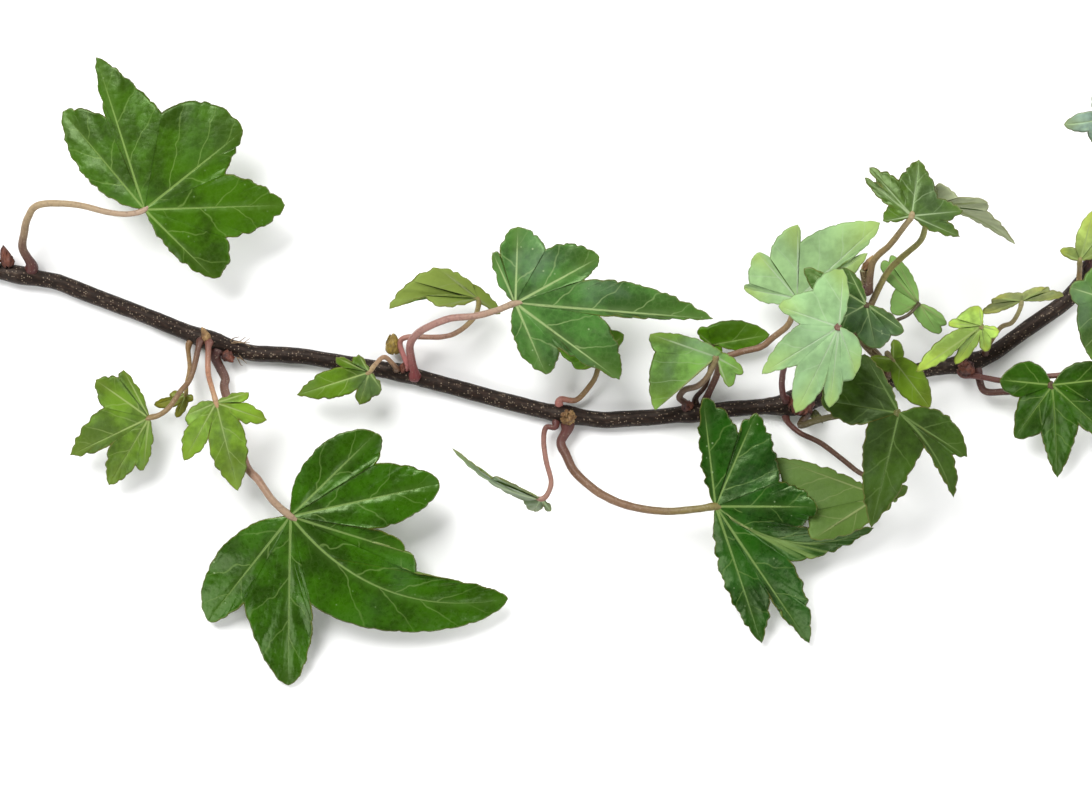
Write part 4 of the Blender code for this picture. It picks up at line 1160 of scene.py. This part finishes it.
class StalkFinish:
    """Material of a stalk: three colours along it, with streaks and fine dots."""

    def __init__(self, colours: Sequence[Tuple[int, int, int]]) -> None:
        """Keep the colours at the foot, the middle and the leaf."""
        self.colours = colours

    def make(self, name: str) -> bpy.types.Material:
        """Build the material, named as given."""
        s = Shader(name)
        run, turn, _ = s.part("run")
        drawn = s.node("CombineXYZ", i0=s.times(run, 9.0),
                       i1=s.times(s.fold(turn, 0.5), 26.0))
        streak = s.noise(1.0, 3.0, drawn.outputs[0])
        foot, middle, neck = (paint(*c) for c in self.colours)
        shifted = s.times_plus(s.minus(streak, 0.5), 0.22, run)
        colour = s.mix(s.band(shifted, 0.02, 0.42), foot, middle)
        colour = s.mix(s.band(shifted, 0.50, 0.98), colour, neck)
        fine = s.noise(1600.0, 3.0)
        colour = s.mix(s.times(s.band(fine, 0.48, 0.70), 0.3), colour, paint(80, 44, 38))
        colour = s.mix(s.times(s.band(s.noise(2300.0, 2.0), 0.60, 0.72), 0.30), colour,
                       paint(226, 206, 180))
        s.surface(Base_Color=colour, Roughness=s.times_plus(fine, 0.3, 0.36),
                  Specular_IOR_Level=0.4)
        s.bump(fine, 0.45, 0.00012)
        return s.material


@dataclass(frozen=True)
class BarkFinish:
    """Material of bark: dark skin with fine cracks and pale pores, and a cut end."""

    dark: Tuple[int, int, int] = (16, 8, 7)
    warm: Tuple[int, int, int] = (48, 32, 25)
    pore: Tuple[int, int, int] = (206, 184, 158)
    wood: Tuple[int, int, int] = (196, 188, 148)

    def make(self, name: str) -> bpy.types.Material:
        """Build the material: noise drawn out along the stem, pores from the mesh's own attribute."""
        s = Shader(name)
        _, turn, middle = s.part("run")
        pore, length, _ = s.part("pore")
        round_turn = s.fold(turn, 0.5)
        drawn = s.node("CombineXYZ", i0=s.times(length, 0.55),
                       i1=s.times(round_turn, 22.0)).outputs[0]
        streak = s.noise(1.0, 5.0, drawn)
        fine = s.noise(1500.0, 4.0)
        colour = s.mix(s.band(streak, 0.40, 0.66), paint(*self.dark), paint(*self.warm))
        colour = s.mix(s.times(s.band(fine, 0.52, 0.72), 0.35), colour, paint(24, 17, 18))
        specks = s.cells(2600.0, "F1")
        pick = s.node("SeparateColor", i0=specks.outputs["Color"]).outputs[0]
        dots = s.band(specks.outputs["Distance"], 0.40, 0.20)
        dots = s.times(dots, s.band(pick, 0.70, 0.80))
        marks = s.most(s.times(dots, 0.6), s.times(pore, 0.3))
        colour = s.mix(marks, colour, paint(*self.pore))
        cut = s.mix(s.band(middle, 0.16, 0.24), paint(150, 128, 92), paint(*self.wood))
        cut = s.mix(s.band(middle, 0.78, 0.84), cut, paint(96, 110, 60))
        colour = s.mix(s.band(middle, 0.985, 0.90), colour, cut)
        s.surface(Base_Color=colour, Roughness=s.times_plus(fine, 0.3, 0.38),
                  Specular_IOR_Level=0.3, Specular_Tint=(1.0, 0.82, 0.7, 1.0))
        height = s.plus(s.times(streak, 0.8), s.times(fine, 0.5))
        s.bump(height, 0.7, 0.0002)
        return s.material


@dataclass(frozen=True)
class ScaleFinish:
    """Material of dry bud scales: two browns by noise, with fine grain."""

    dark: Tuple[int, int, int]
    light: Tuple[int, int, int]
    rough: float = 0.5

    def make(self, name: str) -> bpy.types.Material:
        """Build the material, named as given."""
        s = Shader(name)
        fine = s.noise(1800.0, 4.0)
        tone = s.times_plus(s.noise(500.0, 3.0), 0.7, s.times(fine, 0.3))
        colour = s.mix(s.band(tone, 0.38, 0.62), paint(*self.dark), paint(*self.light))
        s.surface(Base_Color=colour, Roughness=s.times_plus(fine, 0.25, self.rough))
        s.bump(fine, 0.6, 0.00018)
        return s.material


@dataclass(frozen=True)
class Bark:
    """A woody stem: step and sides of its mesh, and its pores to a millimetre."""

    step: float = 0.3
    sides: int = 40
    pores: float = 2.2
    seed: int = 5
    GIRTH = 1.6           # radius at which the relief has its full height

    def fabric(self, line: np.ndarray, radii: np.ndarray) -> Fabric:
        """Tube with shallow ridges, knots and raised pores.

        The radius gains waves drawn out along the stem and, at each pore, a
        bell curve in length and angle.

        Args:
            line: stations of the centre line.
            radii: the radius at each.

        Returns:
            The mesh, with attribute "pore" (pore mask, length in mm, 0).
        """
        draw = np.random.default_rng(self.seed)
        run = np.arange(len(line)) * self.step
        angle = np.arange(self.sides) / self.sides * 2 * np.pi
        count = int(run[-1] * self.pores)
        spots = np.stack([draw.uniform(0, run[-1], count), draw.uniform(0, 2 * np.pi, count)], axis=1)
        size = draw.uniform(0.05, 0.14, count)
        gap = run[:, None] - spots[:, 0]
        turn = np.angle(np.exp(1j * (angle[:, None] - spots[:, 1])))
        reach = np.exp(-(gap / (size * 2.6)) ** 2)
        girth = np.exp(-(turn * radii.mean() / size) ** 2)
        pore = np.clip(reach @ girth.T, 0, 1)
        ring = (np.cos(angle)[None] * self.GIRTH, np.sin(angle)[None] * self.GIRTH)
        ridges = 0.07 * ripple(self.seed, 2.6, run[:, None] * 0.16, *ring)
        knots = 0.07 * ripple(self.seed + 1, 7.0, run[:, None], *ring)
        relief = radii[:, None] / self.GIRTH * (ridges + knots + 0.07 * pore)
        fabric = Tube(line, radii, self.sides).fabric(relief)
        share = fabric.corners["run"]
        rows = np.clip(np.rint(share[..., 0] * (len(line) - 1)).astype(int), 0, len(line) - 1)
        columns = np.rint(share[..., 1] * self.sides).astype(int) % self.sides
        mask = pore[rows, columns]
        fabric.corners["pore"] = np.stack([mask, rows * self.step, mask * 0], axis=-1)
        return fabric


class Stems:
    """The main stem and its side shoot."""

    def __init__(self, bark: Bark) -> None:
        """Keep how the bark is made."""
        self.bark = bark

    def main(self) -> Fabric:
        """Main stem along its line, thicker at its nodes and never below the surface."""
        places = np.linspace(STEM_LINE[0, 0], STEM_LINE[-1, 0], 65)
        centres = np.array([stem_centre(float(x))[0] for x in places])
        line = even_path(centres, self.bark.step)
        fabric = self.bark.fabric(line, stem_radius(line[:, 0]))
        fabric.points[:, 2] = np.maximum(fabric.points[:, 2], 0.0)
        return fabric

    def side(self) -> Fabric:
        """Side shoot, from inside the stem to its tip."""
        path = shoot_path()
        centre, _ = stem_centre(NODES["shoot"].place)
        line = even_path(np.vstack([centre, path]), self.bark.step)
        share = np.linspace(0, 1, len(line))
        foot = 1 + 0.5 * np.exp(-((share * 22 - 2) / 1.6) ** 2)
        return self.bark.fabric(line, SHOOT_DIAMETER / 2 * (1 - SHOOT_TAPER * share) * foot)


@dataclass(frozen=True)
class Bud:
    """A bud: an egg-shaped heart under overlapping spoon-shaped scales.

    base is its foot, heading the way it points, scales their number and
    crumple how uneven it all is, as a share of the width.
    """

    base: Triple
    heading: Triple
    length: float
    width: float
    scales: int
    seed: int
    crumple: float

    def places(self, along: np.ndarray, radius: np.ndarray, angle: np.ndarray) -> np.ndarray:
        """Points at a length along the bud and a radius and angle about its line."""
        heading = unit(np.array(self.heading, float))
        side = unit(np.cross(heading, [0.1, 0.2, 0.97]))
        lift = np.cross(heading, side)
        return (np.array(self.base, float) + heading * along[..., None]
                + (radius * np.cos(angle))[..., None] * side + (radius * np.sin(angle))[..., None] * lift)

    def heart(self) -> Fabric:
        """Egg: radius sin(pi t)^0.7 narrowing to the tip, with dents."""
        t = np.linspace(0, 1, 25)[:, None]
        a = np.linspace(0, 2 * np.pi, 29)[None]
        radius = self.width * 0.42 * np.sin(np.pi * t) ** 0.7 * (1.15 - 0.5 * t)
        dents = ripple(self.seed, 2.0, 3 * t + 0 * a, 1.4 * np.cos(a), 1.4 * np.sin(a))
        spots = self.places(t * self.length, radius * (1 + self.crumple * dents), a)
        return grid_fabric(spots, {}, flip=True).weld()

    def scale(self, index: int) -> Fabric:
        """One scale: a closed leaf-shaped sheet that hugs the heart and lifts at its tip."""
        draw = np.random.default_rng(self.seed + index)
        start = 2 * np.pi * index / self.scales + draw.uniform(-0.3, 0.3)
        t = np.linspace(0, 1, 15)[:, None]
        w = np.linspace(-1, 1, 11)[None]
        reach = self.length * draw.uniform(0.62, 0.95)
        flare = draw.uniform(0.0, 0.22) * self.width
        half = np.sin(np.pi * np.clip(t, 0.06, 1) ** 0.75) ** 0.8 * draw.uniform(0.7, 1.1)
        angle = start + w * half
        radius = self.width * (0.34 + 0.18 * np.sin(np.pi * t * 0.8)) * (1.1 - 0.85 * t**2)
        radius = radius + flare * t**3
        radius = radius + self.width * self.crumple * 0.6 * ripple(self.seed + index, 1.6, 3 * t, 2 * w)
        wall = 0.16 * np.sqrt(np.clip(1 - w**2, 0, 1)) * np.sqrt(np.clip(1 - t**6, 0, 1))
        wall = wall * np.minimum(1, t * 30)
        layers = []
        for part in (0.5, -0.5):
            spots = self.places(t * reach + 0 * w, radius + part * wall, angle)
            layers.append(grid_fabric(spots, {}, flip=part > 0))
        return Fabric.join(layers).weld()

    def fabric(self) -> Fabric:
        """The heart and its scales."""
        return Fabric.join([self.heart()] + [self.scale(i) for i in range(self.scales)])


class Shift:
    """The move from the drawing board to the frame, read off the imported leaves."""

    @staticmethod
    def of(frame_leaves: Sequence[str]) -> np.ndarray:
        """Middle one of the differences between the CAD boxes and the same boxes on the board.

        Args:
            frame_leaves: the CAD nodes to read.

        Returns:
            The shift in millimetres.
        """
        gaps = []
        for name in frame_leaves:
            low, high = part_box(name)
            middle = (np.array(low) + np.array(high)) / 2 / MM
            gaps.append(middle - Leaf(name[5:], PLANS[name[5:]]).plain_middle())
        return np.array([*np.median(gaps, axis=0)[:2], 0.0])


@dataclass(frozen=True)
class Tuft:
    """Fine rootlets or hairs: where they start, how they point and how many there are."""

    base: Triple
    heading: Triple
    length: float
    count: int
    radius: float = 0.16
    spread: float = 0.35
    seed: int = 3

    def fabric(self) -> Fabric:
        """The hairs, each a tapering tube on a slightly bent line."""
        draw = np.random.default_rng(self.seed)
        hairs = []
        for _ in range(self.count):
            way = unit(np.array(self.heading, float)) + draw.normal(size=3) * self.spread
            bend = draw.normal(size=3) * self.length * 0.12
            start = np.array(self.base, float) + draw.normal(size=3) * 0.25
            reach = self.length * draw.uniform(0.55, 1.0)
            path = even_path(np.array([start, start + unit(way) * reach * 0.5 + bend,
                                       start + unit(way) * reach]), reach / 8)
            radii = self.radius * np.linspace(1.0, 0.35, len(path))
            hairs.append(Tube(path, radii, 7).fabric(cap=2))
        return Fabric.join(hairs)


class Sprig:
    """Everything that grows: stems, leaves, stalks, buds and rootlets."""

    def __init__(self, shift: np.ndarray, slots: Dict[str, str]) -> None:
        """Keep the shift and each CAD node's material slot."""
        self.shift = shift
        self.slots = slots

    def add(self, name: str, fabric: Fabric, material: bpy.types.Material, slot: str,
            node: Optional[str] = None) -> None:
        """Build a piece, tie it to the body and hide the CAD node that it replaces.

        Args:
            name: the piece's name.
            fabric: its mesh.
            material: its finish.
            slot: the record's material slot; not used.
            node: the CAD node that it stands for, if any.
        """
        piece = fabric.build(name, self.shift, material)
        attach(piece, ROOT)
        if node:
            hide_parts(node)
        log.info("%s: %d triangles", name, len(fabric.faces))

    def stems(self) -> None:
        """Main stem and side shoot."""
        bark = Stems(Bark())
        self.add("stem_bark", bark.main(), BarkFinish().make("bark_main"), "bark", "main_stem")
        shoot = BarkFinish(dark=(88, 70, 46), warm=(144, 130, 90), pore=(200, 184, 150))
        self.add("shoot_bark", bark.side(), shoot.make("bark_shoot"), "bark", "side_shoot")

    def leaves(self) -> None:
        """Every blade and its stalk."""
        for number, plan in PLANS.items():
            leaf = Leaf(number, plan)
            node = "leaf_" + number
            finish = LeafFinish(plan.skin, leaf.scale).make("lamina_" + number)
            self.add("blade_" + number, leaf.blade(), finish, self.slots[node], node)
            stalk = StalkFinish(plan.stalk.colours).make("stalk_skin_" + number)
            self.add("stalk_" + number, leaf.stalk(), stalk, "stalk", "petiole_" + number)

    def buds(self) -> None:
        """Buds, scales and rootlets at the nodes."""
        for name, bud, finish in BUD_LIST:
            node = name if name in ("bud_n3", "bud_n4") else None
            self.add("scaly_" + name, bud.fabric(), finish.make("skin_" + name), "bud", node)
        for name, tuft, finish in TUFTS:
            self.add(name, tuft.fabric(), finish.make("skin_" + name), "bud")


TAN = ScaleFinish((128, 88, 44), (202, 164, 104))
YELLOW = ScaleFinish((120, 92, 30), (196, 166, 70))
REDBROWN = ScaleFinish((70, 30, 22), (132, 70, 46))
MAROON = ScaleFinish((52, 22, 22), (96, 46, 38))
OLIVE_BUD = ScaleFinish((70, 74, 30), (128, 130, 62))
ROOT_TAN = ScaleFinish((120, 92, 62), (190, 160, 120))

BUD_LIST = (
    ("bud_n3", Bud((-30.4, 9.4, 2.8), (0.0, 1.0, 0.4), 4.2, 3.0, 6, 11, 0.1), YELLOW),
    ("bud_n4", Bud((4.4, -3.2, 3.0), (0.1, -0.3, 1.0), 3.0, 2.8, 6, 23, 0.25), TAN),
    ("bud_n1", Bud((-107.0, 26.6, 3.0), (-0.25, 1.0, 0.3), 4.6, 2.3, 5, 31, 0.2), REDBROWN),
    ("bud_n1_side", Bud((-108.8, 27.0, 3.2), (-0.9, 0.5, 0.3), 2.8, 1.5, 3, 33, 0.2), TAN),
    ("bud_n2", Bud((-67.4, 11.6, 3.6), (-0.35, 1.0, 0.4), 3.4, 1.7, 4, 41, 0.2), TAN),
    ("bud_n2_low", Bud((-64.0, 9.3, 2.8), (0.6, -0.6, 0.5), 3.0, 2.1, 5, 43, 0.22), REDBROWN),
    ("bud_n3_low", Bud((-28.6, 5.6, 3.2), (0.1, 0.9, 0.7), 2.4, 1.5, 4, 47, 0.2), REDBROWN),
    ("bud_n5", Bud((28.6, -1.6, 3.0), (-0.4, 0.6, 0.9), 2.6, 2.0, 5, 51, 0.2), REDBROWN),
    ("bud_n6", Bud((50.4, -2.6, 4.2), (0.2, 1.0, 0.35), 6.6, 4.6, 8, 61, 0.2), REDBROWN),
    ("bud_n6_low", Bud((53.0, -2.4, 2.2), (0.9, -0.9, 0.1), 3.2, 1.8, 4, 67, 0.15), OLIVE_BUD),
    ("bud_n7", Bud((83.6, 6.4, 4.6), (-0.1, -0.2, 1.0), 2.6, 3.0, 6, 71, 0.25), REDBROWN),
    ("bud_n8", Bud((107.4, 25.4, 4.2), (0.3, 1.0, 0.5), 4.2, 2.4, 5, 81, 0.2), MAROON),
    ("bud_shoot", Bud((62.6, 25.4, 13.6), (0.5, 0.9, 0.1), 3.6, 1.6, 4, 91, 0.15), TAN),
    ("bud_young", Bud((66.0, 7.9, 6.0), (-0.3, -0.8, 0.5), 2.8, 1.5, 4, 97, 0.1), OLIVE_BUD),
)
TUFTS = (
    ("rootlets_n2", Tuft((-62.6, 11.6, 3.0), (1.0, 0.25, 0.1), 4.0, 6, 0.15, 0.3, 5), ROOT_TAN),
    ("rootlets_n2_low", Tuft((-61.6, 8.6, 2.6), (1.0, -0.7, 0.0), 2.6, 4, 0.13, 0.3, 6), ROOT_TAN),
    ("rootlets_n6", Tuft((48.4, -1.4, 2.0), (-0.5, -1.0, 0.2), 2.2, 7, 0.13, 0.5, 8), REDBROWN),
)


class Stage:
    """Table, lights, world and camera.

    A light has its name, its place, the size of its square and its power.
    """

    TABLE_SIZE = 6.0
    WORLD_LEVEL = 0.05
    LENS = 135.0
    SENSOR = 36.0
    LIGHTS = (
        ("back_left_light", (-0.7, 1.0, 1.5), 1.0, 48.0),
        ("back_right_light", (1.5, 0.9, 1.0), 1.3, 30.0),
        ("front_left_light", (-1.3, -1.0, 1.0), 1.2, 20.0),
        ("front_right_light", (1.0, -1.3, 1.1), 1.2, 18.0),
    )

    def table(self) -> None:
        """Plain pale floor on which the stem lies."""
        half = self.TABLE_SIZE / 2
        mesh = bpy.data.meshes.new("table")
        mesh.from_pydata([(-half, -half, 0), (half, -half, 0), (half, half, 0), (-half, half, 0)], [],
                         [(0, 1, 2, 3)])
        s = Shader("table_white")
        s.surface(Base_Color=(0.9, 0.9, 0.895, 1.0), Roughness=0.8, Specular_IOR_Level=0.2)
        mesh.materials.append(s.material)
        table = bpy.data.objects.new("table", mesh)
        bpy.context.scene.collection.objects.link(table)

    def lights(self) -> None:
        """Large soft area lights round the piece, and an even pale world."""
        for name, place, size, power in self.LIGHTS:
            lamp = bpy.data.lights.new(name, "AREA")
            lamp.size = size
            lamp.energy = power
            holder = bpy.data.objects.new(name, lamp)
            holder.location = place
            aim = -holder.location.normalized()
            holder.rotation_euler = aim.to_track_quat("-Z", "Y").to_euler()
            bpy.context.scene.collection.objects.link(holder)
        world = bpy.data.worlds.new("pale")
        world.use_nodes = True
        sky = world.node_tree.nodes["Background"]
        sky.inputs["Color"].default_value = (1.0, 1.0, 1.0, 1.0)
        sky.inputs["Strength"].default_value = self.WORLD_LEVEL
        bpy.context.scene.world = world

    def camera(self, shift: np.ndarray) -> None:
        """Camera straight above the board's origin, its top towards +Y."""
        lens = bpy.data.cameras.new("camera")
        lens.lens = self.LENS
        lens.sensor_width = self.SENSOR
        lens.sensor_fit = "HORIZONTAL"
        lens.clip_start = 0.01
        lens.dof.use_dof = False
        holder = bpy.data.objects.new("camera", lens)
        holder.location = ((shift + np.array([0.0, 0.0, CAMERA_HEIGHT])) * MM).tolist()
        bpy.context.scene.collection.objects.link(holder)
        bpy.context.scene.camera = holder

    def build(self, shift: np.ndarray) -> None:
        """All of the stage."""
        self.table()
        self.lights()
        self.camera(shift)
        bpy.context.scene.view_settings.view_transform = "Standard"


def main() -> None:
    """Build the piece and its stage, and report each part."""
    logging.basicConfig(level=logging.INFO, format="%(message)s")
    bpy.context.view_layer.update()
    slots = {row["node"]: row["material_slot"] for row in frame["record"]["subparts"]}
    shift = Shift.of([f"leaf_{number}" for number in PLANS])
    log.info("board shift: %s mm", np.round(shift, 3).tolist())
    sprig = Sprig(shift, slots)
    sprig.stems()
    sprig.leaves()
    sprig.buds()
    Stage().build(shift)
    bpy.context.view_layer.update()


if __name__ == "__main__":
    main()
